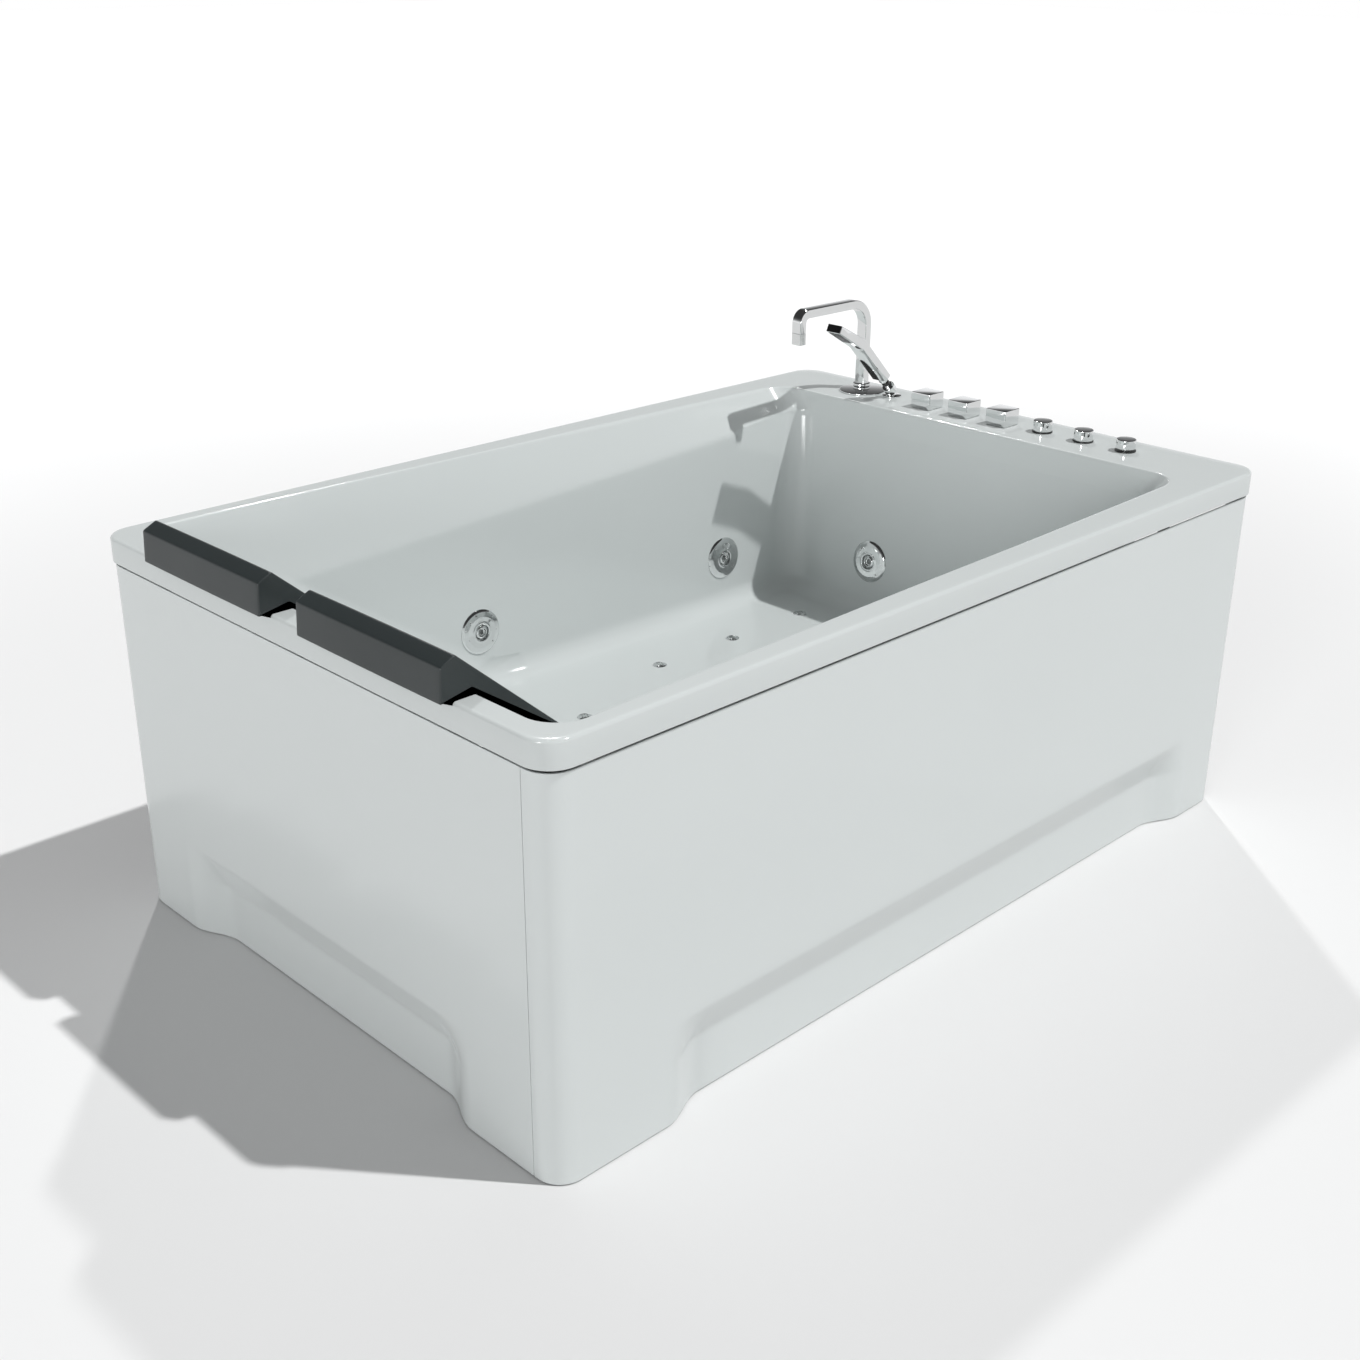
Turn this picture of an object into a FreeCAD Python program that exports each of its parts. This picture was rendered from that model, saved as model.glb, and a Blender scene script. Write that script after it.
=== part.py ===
import FreeCAD, Part
import Sketcher
import math
import os

# Jetted bathtub for two, with aprons on the front and head sides. Millimetres, +Z up.
# Origin: middle of the overall length and width, on the floor.
# +X is the end with the taps, -X the end with the pillows, -Y the long side with the front apron.

doc = FreeCAD.newDocument("JettedBathtub")
sheet = doc.addObject("Spreadsheet::Sheet", "Dimensions")
nodes = []


# ---------------------------------------------------------------- sizes that carry their sheet cell

class Size:
    """A length or angle, with the sheet expression that gives it."""

    def __init__(self, value, text):
        self.value = float(value)
        self.text = text

    def __float__(self):
        return self.value

    def __neg__(self):
        return Size(-self.value, "(-" + self.text + ")")

    def __add__(self, other):
        other = as_size(other)
        return Size(self.value + other.value, "(" + self.text + " + " + other.text + ")")

    def __sub__(self, other):
        other = as_size(other)
        return Size(self.value - other.value, "(" + self.text + " - " + other.text + ")")

    def __mul__(self, other):
        other = as_size(other)
        return Size(self.value * other.value, "(" + self.text + " * " + other.text + ")")

    def __truediv__(self, other):
        other = as_size(other)
        return Size(self.value / other.value, "(" + self.text + " / " + other.text + ")")

    def __radd__(self, other):
        return as_size(other) + self

    def __rsub__(self, other):
        return as_size(other) - self

    def __rmul__(self, other):
        return as_size(other) * self


def as_size(number):
    return number if isinstance(number, Size) else Size(number, repr(float(number)))


def size(name, value):
    """Writes one driving dimension into the next row of the sheet."""
    row = sheet_rows.pop(0)
    sheet.set("A" + str(row), name)
    sheet.set("B" + str(row), str(value))
    sheet.setAlias("B" + str(row), name)
    return Size(value, "Dimensions." + name)


def bind(thing, field, amount):
    """Sets a property, and ties it to the sheet where the amount comes from there."""
    amount = as_size(amount)
    thing.setExpression(field, amount.text)


sheet_rows = list(range(1, 400))

# Overall
tub_length = size("tub_length", 1850)
tub_width = size("tub_width", 1200)
rim_height = size("rim_height", 725)
rim_corner = size("rim_corner", 50)
rim_lip = size("rim_lip", 45)
shell_wall = size("shell_wall", 5)
pillow_overhang = size("pillow_overhang", 21)

# Basin
head_rim = size("head_rim", 40)
foot_deck = size("foot_deck", 175)
rim_side_head = size("rim_side_head", 32)
rim_side_foot = size("rim_side_foot", 75)
basin_width_head = tub_width - rim_side_head * 2
basin_width_foot = tub_width - rim_side_foot * 2
floor_height = size("floor_height", 262)
floor_narrowing_head = size("floor_narrowing_head", 188)
floor_narrowing_foot = size("floor_narrowing_foot", 162)
floor_width_head = basin_width_head - floor_narrowing_head
floor_width_foot = basin_width_foot - floor_narrowing_foot
floor_foot_inset = size("floor_foot_inset", 222)
backrest_run = size("backrest_run", 595)
crease_drop_foot = size("crease_drop_foot", 57)
crease_drop_head = size("crease_drop_head", 149)
crease_narrowing = size("crease_narrowing", 116)
crease_width_foot = basin_width_foot - crease_narrowing
floor_head_corner = size("floor_head_corner", 104)
floor_foot_corner = size("floor_foot_corner", 60)
rim_inner_corner = size("rim_inner_corner", 60)
floor_round = size("floor_round", 45)
rim_edge_round = size("rim_edge_round", 5)
footwell_length = size("footwell_length", 202)
footwell_widening = size("footwell_widening", 20)
footwell_depth = size("footwell_depth", 165)

# Aprons
apron_wall = size("apron_wall", 4)
apron_setback = size("apron_setback", 4)
apron_gap = size("apron_gap", 2)
apron_seam = size("apron_seam", 54.5)
seam_gap = size("seam_gap", 1)
toe_depth = size("toe_depth", 32)
toe_height = size("toe_height", 181)
toe_slope = size("toe_slope", 71)
toe_front_start = size("toe_front_start", 225)
toe_front_end = size("toe_front_end", 140)
toe_head_start = size("toe_head_start", 205)
toe_head_end = size("toe_head_end", 170)
toe_blend = size("toe_blend", 100)

# Steel frame
tube = size("tube", 25)
rim_rail_width = size("rim_rail_width", 15)
rim_rail_height = size("rim_rail_height", 30)
frame_height = size("frame_height", 60)
board_thickness = size("board_thickness", 16)
foot_pad = size("foot_pad", 25)
stud_radius = size("stud_radius", 6)

# Jets
jet_height = size("jet_height", 375)
jet_radius = size("jet_radius", 47.5)
jet_crown = size("jet_crown", 7)
jet_bore = size("jet_bore", 24)
jet_tube_wall = size("jet_tube_wall", 4)
nozzle_ball = size("nozzle_ball", 16)
nozzle_mouth = size("nozzle_mouth", 13)
nozzle_bore = size("nozzle_bore", 6)
side_jet_head = size("side_jet_head", 727)
side_jet_foot = size("side_jet_foot", 433)
foot_jet_spacing = size("foot_jet_spacing", 416)
running_gap = size("running_gap", 0.3)

# Deck fittings, all measured from the foot end of the rim
square_knob = size("square_knob", 51)
square_knob_height = size("square_knob_height", 35)
square_knob_line = size("square_knob_line", 96)
knob_spacing = size("knob_spacing", 101.5)
first_knob = size("first_knob", 159)
round_knob = size("round_knob", 20)
round_knob_height = size("round_knob_height", 22)
round_knob_line = size("round_knob_line", 84)
first_round_knob = size("first_round_knob", -140)
spindle_radius = size("spindle_radius", 7)
valve_radius = size("valve_radius", 22)
spout_line = size("spout_line", 62)
spout_side = size("spout_side", 378)
spout_reach = size("spout_reach", 224)
spout_rise = size("spout_rise", 209)
spout_width = size("spout_width", 26)
spout_depth = size("spout_depth", 19)
spout_drop = size("spout_drop", 76)
spout_bend = size("spout_bend", 46)
shower_side = size("shower_side", 275)
shower_line = size("shower_line", 77)

spout_spigot = size("spout_spigot", 10)
spout_collar = size("spout_collar", 20)
collar_height = size("collar_height", 8)
spigot_length = size("spigot_length", 35)
aerator_radius = size("aerator_radius", 7)
aerator_height = size("aerator_height", 14)
rosette_radius = size("rosette_radius", 53)
rosette_height = size("rosette_height", 4)
rosette_shift = size("rosette_shift", 22)
wand_root_back = size("wand_root_back", 39.5)
wand_root_rise = size("wand_root_rise", 50)
wand_length = size("wand_length", 134)
wand_width = size("wand_width", 39)
wand_depth = size("wand_depth", 20)
wand_elbow = size("wand_elbow", 12)
head_run = size("head_run", 81)
head_rise = size("head_rise", 40.5)
head_lean = size("head_lean", 7)
head_depth = size("head_depth", 16)
neck_radius = size("neck_radius", 9)
neck_length = size("neck_length", 45)
cup_start = size("cup_start", 33)
cup_radius = size("cup_radius", 14)
cup_length = size("cup_length", 19)
socket_radius = size("socket_radius", 22)
socket_rise = size("socket_rise", 8)
spray_start = size("spray_start", 6)
spray_length = size("spray_length", 52)
spray_margin = size("spray_margin", 5)
spray_depth = size("spray_depth", 3)
spray_proud = size("spray_proud", 1)
knob_lift = size("knob_lift", 0.6)
knob_round = size("knob_round", 2)
ring_radius = size("ring_radius", 21.5)
ring_height = size("ring_height", 3)
button_travel = size("button_travel", 3)
button_wall = size("button_wall", 2)
button_cavity = size("button_cavity", 6)

# Valves under the deck
spindle_length = size("spindle_length", 38)
valve_length = size("valve_length", 62)
valve_neck = size("valve_neck", 14)
valve_neck_wall = size("valve_neck_wall", 4)
bridge_rise = size("bridge_rise", 14)
bridge_radius = size("bridge_radius", 11)
tail_length = size("tail_length", 50)
tail_radius = size("tail_radius", 10.5)
bearing_gap = size("bearing_gap", 0.05)
press_gap = size("press_gap", 0.05)
drill_depth = size("drill_depth", 30)

# Water pipe, air pipe and floor air jets
ring_inset_side = size("ring_inset_side", 70)
ring_inset_foot = size("ring_inset_foot", 135)
ring_inset_head = size("ring_inset_head", 425)
ring_pipe = size("ring_pipe", 16)
jet_bite = size("jet_bite", 6)
jet_nut = size("jet_nut", 38)
jet_nut_height = size("jet_nut_height", 9)
jet_face_flat = size("jet_face_flat", 30)
jet_hub = size("jet_hub", 20)
nozzle_centre = size("nozzle_centre", 2)
nozzle_front = size("nozzle_front", 9.3)
air_rise = size("air_rise", 55)
air_inset = size("air_inset", 25)
air_inset_foot = size("air_inset_foot", 40)
air_pipe = size("air_pipe", 8)
jet_block_length = size("jet_block_length", 90)
air_jet_start = size("air_jet_start", 143.5)
air_jet_spacing = size("air_jet_spacing", 222)
air_jet_side = size("air_jet_side", 292)
air_jet_head = size("air_jet_head", -148.5)
air_jet_head_side = size("air_jet_head_side", 202)
air_jet_cap = size("air_jet_cap", 15)
air_jet_cap_height = size("air_jet_cap_height", 3)
air_jet_stem = size("air_jet_stem", 8)
manifold_rise = size("manifold_rise", 110)
manifold_pipe = size("manifold_pipe", 14)

# Frame and inner equipment
frame_inset_head = size("frame_inset_head", 62.5)
frame_inset_foot = size("frame_inset_foot", 33)
frame_inset_side = size("frame_inset_side", 70)
frame_post_offset = size("frame_post_offset", 52)
frame_gap = size("frame_gap", 2)
pump_bay = size("pump_bay", 302)
foot_thickness = size("foot_thickness", 8)
rim_rail_inset = size("rim_rail_inset", 10)
cradle_head = size("cradle_head", -60)
cradle_foot = size("cradle_foot", 490)
board_start = size("board_start", -105)
board_length = size("board_length", 740)
board_half = size("board_half", 262)
board_opening = size("board_opening", 45)
clip_first = size("clip_first", -620)
clip_spacing = size("clip_spacing", 400)
clip_length = size("clip_length", 40)
clip_height = size("clip_height", 70)
clip_drop = size("clip_drop", 35)
pump_inset = size("pump_inset", 285)
pump_axis = size("pump_axis", 86)
pump_wet_start = size("pump_wet_start", -120)
pump_wet_length = size("pump_wet_length", 60)
pump_wet_radius = size("pump_wet_radius", 80)
pump_leg = size("pump_leg", 80)
motor_radius = size("motor_radius", 68)
motor_length = size("motor_length", 210)
plate_thickness = size("plate_thickness", 4)
plate_half = size("plate_half", 400)
blower_inset = size("blower_inset", 275)
blower_radius = size("blower_radius", 70)
blower_height = size("blower_height", 140)
control_start = size("control_start", 180)
control_depth = size("control_depth", 70)
control_length = size("control_length", 160)
control_height = size("control_height", 120)
suction_x = size("suction_x", 0.5)
suction_height = size("suction_height", 362)
suction_tube = size("suction_tube", 24)
suction_tube_length = size("suction_tube_length", 38)
suction_radius = size("suction_radius", 50)
suction_flat = size("suction_flat", 34)
suction_dome = size("suction_dome", 10)
slot_width = size("slot_width", 4)
slot_length = size("slot_length", 44)
slot_spacing = size("slot_spacing", 10)
suction_clear = size("suction_clear", 8.4)
suction_pipe = size("suction_pipe", 16)

# Drain, overflow and waste
drain_x = size("drain_x", 210.5)
drain_tube = size("drain_tube", 22)
drain_length = size("drain_length", 87)
drain_flange_radius = size("drain_flange_radius", 35)
drain_flange_height = size("drain_flange_height", 2.5)
guide_drop = size("guide_drop", 20)
plug_stem = size("plug_stem", 5)
plug_reach = size("plug_reach", 12)
plug_radius = size("plug_radius", 25)
overflow_height = size("overflow_height", 590)
overflow_tube = size("overflow_tube", 18)
overflow_tube_length = size("overflow_tube_length", 70)
overflow_radius = size("overflow_radius", 35)
overflow_plate_height = size("overflow_plate_height", 5)
overflow_knob_radius = size("overflow_knob_radius", 24)
overflow_knob_height = size("overflow_knob_height", 14)
overflow_clear = size("overflow_clear", 2)
link_drop = size("link_drop", 15)
overflow_pipe = size("overflow_pipe", 12)
trap_drop = size("trap_drop", 60)
waste_pipe = size("waste_pipe", 20)
waste_short = size("waste_short", 60)
waste_spigot = size("waste_spigot", 25)
spigot_run = size("spigot_run", 40)
waste_elbow = size("waste_elbow", 20)

# Pillows
soft_gap = size("soft_gap", 0.4)
pillow_width = size("pillow_width", 353)
pillow_middle = size("pillow_middle", 228)
pillow_lean = size("pillow_lean", 3)
pillow_back_height = size("pillow_back_height", 55)
pillow_top_run = size("pillow_top_run", 29)
pillow_height = size("pillow_height", 68)
pillow_lip = size("pillow_lip", 20)
pillow_notch_run = size("pillow_notch_run", 55)
pillow_notch_rise = size("pillow_notch_rise", 10)
tongue_start = size("tongue_start", 8)
tongue_length = size("tongue_length", 185)
tongue_tip = size("tongue_tip", 20)
tongue_tip_slant = size("tongue_tip_slant", 4)
pillow_end_round = size("pillow_end_round", 6)

doc.recompute()

# Places worked out from the driving sizes
head_edge = -(tub_length - pillow_overhang) / 2
foot_edge = (tub_length + pillow_overhang) / 2
half_width = tub_width / 2
deck_under = rim_height - shell_wall
basin_head = head_edge + head_rim
basin_foot = foot_edge - foot_deck


# ---------------------------------------------------------------- small makers of document objects

def place(thing, x, y, z, axis=(0, 0, 1), angle=0):
    """Puts an object at a point, turned about an axis, with its position tied to the sheet."""
    thing.Placement = FreeCAD.Placement(
        FreeCAD.Vector(float(x), float(y), float(z)), FreeCAD.Rotation(FreeCAD.Vector(*axis), angle))
    for field, amount in (("x", x), ("y", y), ("z", z)):
        bind(thing, "Placement.Base." + field, amount)
    return thing


def box(name, x, y, z, length, width, height):
    """A block from its lowest corner."""
    block = doc.addObject("Part::Box", name)
    bind(block, "Length", length)
    bind(block, "Width", width)
    bind(block, "Height", height)
    return place(block, x, y, z)


TURNED_TO = {"X": ((0, 1, 0), 90), "Y": ((1, 0, 0), -90), "Z": ((0, 0, 1), 0)}


def cylinder(name, x, y, z, radius, length, axis="Z"):
    """A cylinder that starts at a point and runs along +X, +Y or +Z."""
    rod = doc.addObject("Part::Cylinder", name)
    bind(rod, "Radius", radius)
    bind(rod, "Height", length)
    return place(rod, x, y, z, *TURNED_TO[axis])


def prism(name, x, y, z, radius, length, sides, axis="Z"):
    """A many-sided bar that starts at a point and runs along +X, +Y or +Z."""
    bar = doc.addObject("Part::Prism", name)
    bar.Polygon = sides
    bind(bar, "Circumradius", radius)
    bind(bar, "Height", length)
    return place(bar, x, y, z, *TURNED_TO[axis])


def stacked(name, rings, sides):
    """A many-sided solid with flat faces through rings of (radius, height) around Z."""
    levels = []
    for radius, height in rings:
        turns = [2 * math.pi * number / sides for number in range(sides)]
        levels.append([FreeCAD.Vector(float(radius) * math.cos(turn), float(radius) * math.sin(turn),
                                      float(height)) for turn in turns])
    outlines = [levels[0], levels[-1]]
    for lower, upper in zip(levels, levels[1:]):
        for number in range(sides):
            ahead = (number + 1) % sides
            outlines.append([lower[number], lower[ahead], upper[ahead], upper[number]])
    shell = Part.Shell([Part.Face(Part.makePolygon(outline + outline[:1])) for outline in outlines])
    solid = Part.Solid(shell)
    if solid.Volume < 0:
        solid.reverse()
    return solid_feature(name, Part.makeSolid(Part.Shell(solid.Faces)))


def seated(thing, seat):
    """Moves an object onto a seat whose place comes from the basin's walls."""
    for field in ("x", "y", "z"):
        thing.setExpression("Placement.Base." + field, None)
    thing.Placement = seat
    return thing


def cut(name, base, *tools):
    """The base without its tools."""
    for number, tool in enumerate(tools):
        last = number == len(tools) - 1
        step = doc.addObject("Part::Cut", name if last else name + "_step" + str(number))
        step.Base = base
        step.Tool = tool
        base = step
    return base


def fuse(name, *parts):
    """All the parts as one solid."""
    joined = doc.addObject("Part::MultiFuse", name)
    joined.Shapes = list(parts)
    joined.Refine = True
    return joined


def group(name, parts):
    """Separate like pieces kept in one node."""
    bundle = doc.addObject("Part::Compound", name)
    bundle.Links = list(parts)
    return bundle


def rounded(name, base, radius, chooses):
    """The base with the edges that the test picks rounded to the radius."""
    doc.recompute()
    soft = doc.addObject("Part::Fillet", name)
    soft.Base = base
    picked = [number for number, edge in enumerate(base.Shape.Edges, 1) if chooses(edge)]
    soft.Edges = [(number, float(radius), float(radius)) for number in picked]
    return soft


def node(name, thing):
    """Registers a finished sub-part under its file name."""
    thing.Label = name
    nodes.append((name, thing))
    return thing


def solid_feature(name, shape):
    """A sub-part whose form is a moulding or bent pipe, set from Part's own functions."""
    thing = doc.addObject("Part::Feature", name)
    thing.Shape = shape
    return thing


def vector(x, y, z):
    return FreeCAD.Vector(float(x), float(y), float(z))


# ---------------------------------------------------------------- tub shell

def ring_wire(head, foot, half_head, half_foot, height_head, height_foot, corner_head, corner_foot):
    """A closed outline with straight, tapering sides and four round corners, on a tilted plane."""
    def height_at(x):
        return height_head + (height_foot - height_head) * (x - head) / (foot - head)

    flat = []
    corners = ((head, -half_head, corner_head), (foot, -half_foot, corner_foot),
               (foot, half_foot, corner_foot), (head, half_head, corner_head))
    for number, (x, y, radius) in enumerate(corners):
        here = FreeCAD.Vector(x, y, 0)
        before = FreeCAD.Vector(*corners[number - 1][:2], 0)
        after = FreeCAD.Vector(*corners[(number + 1) % 4][:2], 0)
        back = (before - here).normalize()
        ahead = (after - here).normalize()
        half_turn = back.getAngle(ahead) / 2
        reach = radius / math.tan(half_turn)
        middle_line = (back + ahead).normalize()
        middle = here + middle_line * (radius / math.sin(half_turn) - radius)
        flat.append((here + back * reach, middle, here + ahead * reach))
    edges = []
    for number, (enter, middle, leave) in enumerate(flat):
        lifted = [FreeCAD.Vector(p.x, p.y, height_at(p.x)) for p in (enter, middle, leave)]
        edges.append(Part.Arc(*lifted).toShape())
        next_enter = flat[(number + 1) % 4][0]
        end = FreeCAD.Vector(next_enter.x, next_enter.y, height_at(next_enter.x))
        edges.append(Part.LineSegment(lifted[2], end).toShape())
    return Part.Wire(edges)


def block_between(lower_corners, upper_corners):
    """A solid with flat sides between two four-cornered outlines."""
    faces = [Part.Face(Part.makePolygon(lower_corners + lower_corners[:1])),
             Part.Face(Part.makePolygon(upper_corners + upper_corners[:1]))]
    for number in range(4):
        ahead = (number + 1) % 4
        side = [lower_corners[number], lower_corners[ahead], upper_corners[ahead], upper_corners[number]]
        faces.append(Part.Face(Part.makePolygon(side + side[:1])))
    solid = Part.Solid(Part.Shell(faces))
    if solid.Volume < 0:
        solid.reverse()
    return Part.makeSolid(Part.Shell(solid.Faces))


def four_corners(head, foot, half_head, half_foot, height_head, height_foot):
    """The corners of a tapering outline, head near side first."""
    return [FreeCAD.Vector(head, -half_head, height_head), FreeCAD.Vector(foot, -half_foot, height_foot),
            FreeCAD.Vector(foot, half_foot, height_foot), FreeCAD.Vector(head, half_head, height_head)]


def side_edges(solid, low, high, x_test):
    """The edges that climb from low to high at one end of a solid."""
    climbing = []
    for edge in solid.Edges:
        ends = [vertex.Z for vertex in edge.Vertexes]
        middle = edge.CenterOfMass
        if len(ends) == 2 and min(ends) < low + 1 and max(ends) > high - 1 and x_test(middle.x):
            climbing.append(edge)
    return climbing


def basin_solid(grow):
    """The water space of the basin, with every wall moved outwards by grow."""
    g = float(grow)
    top = float(rim_height)
    floor = float(floor_height) - g
    floor_head = float(basin_head + backrest_run) - g
    floor_foot = float(foot_edge - floor_foot_inset) + g
    rim_head_x = float(basin_head) - g * 1.3
    rim_foot_x = float(basin_foot) + g
    middle_x = (floor_head + floor_foot) / 2
    floor_half_head = float(floor_width_head) / 2 + g
    floor_half_foot = float(floor_width_foot) / 2 + g
    crease_half_foot = float(crease_width_foot) / 2 + g
    crease_foot_z = top - float(crease_drop_foot)
    crease_head_z = top - float(crease_drop_head)
    backrest_fall = float(rim_height - floor_height) / float(backrest_run)
    crease_head_x = float(basin_head) + float(crease_drop_head) / backrest_fall - g * 1.3
    # the long wall is flat, so its three set corners give the fourth
    per_x = (floor_half_foot - floor_half_head) / (floor_foot - floor_head)
    per_z = (crease_half_foot - floor_half_foot - per_x * (rim_foot_x - floor_foot)) / (crease_foot_z - floor)
    crease_half_head = floor_half_foot + per_x * (crease_head_x - floor_foot) + per_z * (crease_head_z - floor)
    lower = block_between(
        four_corners(floor_head, floor_foot, floor_half_head, floor_half_foot, floor, floor),
        four_corners(crease_head_x, rim_foot_x, crease_half_head, crease_half_foot, crease_head_z, crease_foot_z))
    lower = lower.makeFillet(float(floor_head_corner), side_edges(lower, floor, crease_head_z, lambda x: x < middle_x))
    lower = lower.makeFillet(float(floor_foot_corner), side_edges(lower, floor, crease_foot_z, lambda x: x > middle_x))
    lid = [face for face in lower.Faces if face.BoundBox.ZMin > crease_head_z - 1][0]
    rim_ring = ring_wire(
        rim_head_x, rim_foot_x, float(basin_width_head) / 2 + g, float(basin_width_foot) / 2 + g,
        top, top, float(rim_inner_corner), float(floor_foot_corner))
    armrest = Part.makeLoft([lid.OuterWire, rim_ring], True, True)
    bottom_edges = [edge for edge in lower.Edges if edge.CenterOfMass.z < floor + 0.01]
    if g == 0:
        lower = lower.makeFillet(float(floor_round), bottom_edges)
    # the foot well opens straight up through the armrests and runs out lower down the walls
    well_start = float(basin_foot - footwell_length) - g
    well_low = top - float(footwell_depth)
    well_half = float(crease_width_foot) / 2 + float(footwell_widening) + g
    low_half = crease_half_foot + per_z * (well_low - crease_foot_z) - 0.5
    well = block_between(four_corners(well_start, rim_foot_x, low_half, low_half, well_low, well_low),
                         four_corners(well_start, rim_foot_x, well_half, well_half, top, top))
    well = well.makeFillet(float(floor_foot_corner) * 0.8,
                           side_edges(well, well_low, top, lambda x: x > (well_start + rim_foot_x) / 2))
    # below the crease it keeps to the slope of the foot wall
    per_fall = (rim_foot_x - floor_foot) / (crease_foot_z - floor)
    limit = [(well_start, well_low), (floor_foot + per_fall * (well_low - floor), well_low),
             (rim_foot_x, crease_foot_z), (rim_foot_x, top), (well_start, top)]
    corners = [FreeCAD.Vector(x, -well_half, z) for x, z in limit]
    well = well.common(Part.Face(Part.makePolygon(corners + corners[:1])).extrude(
        FreeCAD.Vector(0, well_half * 2, 0)))
    return lower.fuse([armrest, well]).removeSplitter()


water_space = basin_solid(0)
outer_skin = basin_solid(shell_wall)


def wall_spot(x, z, side):
    """The point and outward normal of the long wall (side -1 or 1) or of the foot wall (side 0)."""
    if side:
        ray = Part.makeLine(vector(x, 0, z), vector(x, side * 700, z))
    else:
        ray = Part.makeLine(vector(0, x, z), vector(1500, x, z))
    hit = water_space.common(ray).Vertexes
    spot = max((vertex.Point for vertex in hit), key=lambda p: abs(p.y) if side else p.x)
    faces = sorted(water_space.Faces, key=lambda face: face.distToShape(Part.Vertex(spot))[0])
    u, v = faces[0].Surface.parameter(spot)
    normal = faces[0].normalAt(u, v)
    outward = FreeCAD.Vector(0, side, 0) if side else FreeCAD.Vector(1, 0, 0)
    if normal.dot(outward) < 0:
        normal = -normal
    return spot, normal


def seat_on_wall(spot, normal):
    """A placement whose +Z points out of the basin, through the wall."""
    return FreeCAD.Placement(spot, FreeCAD.Rotation(FreeCAD.Vector(0, 0, 1), normal))


side_jet_x = {"head": head_edge + side_jet_head, "foot": foot_edge - side_jet_foot}
jet_spots = {}
for side_name, side in (("far", 1), ("near", -1)):
    for end_name in ("head", "foot"):
        jet_spots[side_name + "_" + end_name] = wall_spot(float(side_jet_x[end_name]), float(jet_height), side)
    jet_spots["foot_" + side_name] = wall_spot(side * float(foot_jet_spacing) / 2, float(jet_height), 0)


# ---------------------------------------------------------------- tub shell, continued

def is_upright(edge):
    """Whether an edge climbs straight up."""
    around = edge.BoundBox
    return around.ZLength > 1 and max(around.XLength, around.YLength) < 0.01


def on_level(height):
    """A test for edges that lie wholly at one height."""
    return lambda edge: edge.BoundBox.ZMin > float(height) - 0.01 and edge.BoundBox.ZMax < float(height) + 0.01


def wall_hole(name, spot, normal, radius):
    """A many-sided drill through the basin wall at a spot."""
    drill = prism(name, 0, 0, 0, radius, drill_depth, 12)
    seat = seat_on_wall(spot - normal * float(drill_depth) / 2, normal)
    return seated(drill, seat)


def rim_block(name, inset, bottom, top, corner):
    """A block of the rim's outline with its four upright edges rounded."""
    raw = box(name + "_raw", head_edge + inset, -half_width + inset, bottom,
              tub_length - inset * 2, tub_width - inset * 2, top - bottom)
    return rounded(name, raw, corner, is_upright)


rim_sharp = rim_block("rim_sharp", 0, rim_height - rim_lip, rim_height, rim_corner)
rim_outside = rounded("rim_outside", rim_sharp, rim_edge_round, on_level(rim_height))
rim_inside = rim_block("rim_inside", shell_wall, rim_height - rim_lip - 1, deck_under, rim_corner - shell_wall)
rim_cap = cut("rim_cap", rim_outside, rim_inside)
basin_skin = solid_feature("basin_skin", outer_skin)
basin_water = solid_feature("basin_water", water_space)
drills = []
for spot_name, (spot, normal) in jet_spots.items():
    drills.append(wall_hole("jet_drill_" + spot_name, spot, normal, jet_bore + jet_tube_wall + press_gap))

air_jet_spots = []
for side in (-1, 1):
    for number in range(3):
        air_jet_spots.append((air_jet_start + air_jet_spacing * number, air_jet_side * side))
    air_jet_spots.append((air_jet_head, air_jet_head_side * side))
for number, (x, y) in enumerate(air_jet_spots):
    drills.append(prism("air_jet_drill_" + str(number), x, y, floor_height - drill_depth / 2,
                        air_jet_stem + press_gap, drill_depth, 8))
drills.append(prism("drain_drill", drain_x, 0, floor_height - drill_depth / 2,
                    drain_tube + press_gap, drill_depth, 16))
overflow_spot, overflow_normal = wall_spot(float(drain_x), float(overflow_height), -1)
suction_spot, suction_normal = wall_spot(float(suction_x), float(suction_height), -1)
drills.append(wall_hole("overflow_drill", overflow_spot, overflow_normal, overflow_tube + press_gap))
drills.append(wall_hole("suction_drill", suction_spot, suction_normal, suction_tube + press_gap))

square_knob_x = foot_edge - square_knob_line
round_knob_x = foot_edge - round_knob_line
square_knob_spots = {}
for number, knob_name in enumerate(("hot_knob", "cold_knob", "diverter_knob")):
    square_knob_spots[knob_name] = first_knob - knob_spacing * number
round_knob_spots = {}
for number, knob_name in enumerate(("air_knob_left", "air_knob_right", "pump_button")):
    round_knob_spots[knob_name] = first_round_knob - knob_spacing * number
deck_holes = [(square_knob_x, y, spindle_radius + 1) for y in square_knob_spots.values()]
deck_holes += [(round_knob_x, y, spindle_radius + 1) for y in round_knob_spots.values()]
deck_holes.append((foot_edge - spout_line, spout_side, spout_spigot + 1))
deck_holes.append((foot_edge - shower_line, shower_side, spout_spigot + 1))
for number, (x, y, radius) in enumerate(deck_holes):
    drills.append(prism("deck_drill_" + str(number), x, y, rim_height - drill_depth / 2, radius, drill_depth, 12))

shell_blank = fuse("shell_blank", rim_cap, basin_skin)
node("tub_shell", cut("tub_shell", shell_blank, basin_water, fuse("shell_drills", *drills)))


# ---------------------------------------------------------------- aprons

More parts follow.
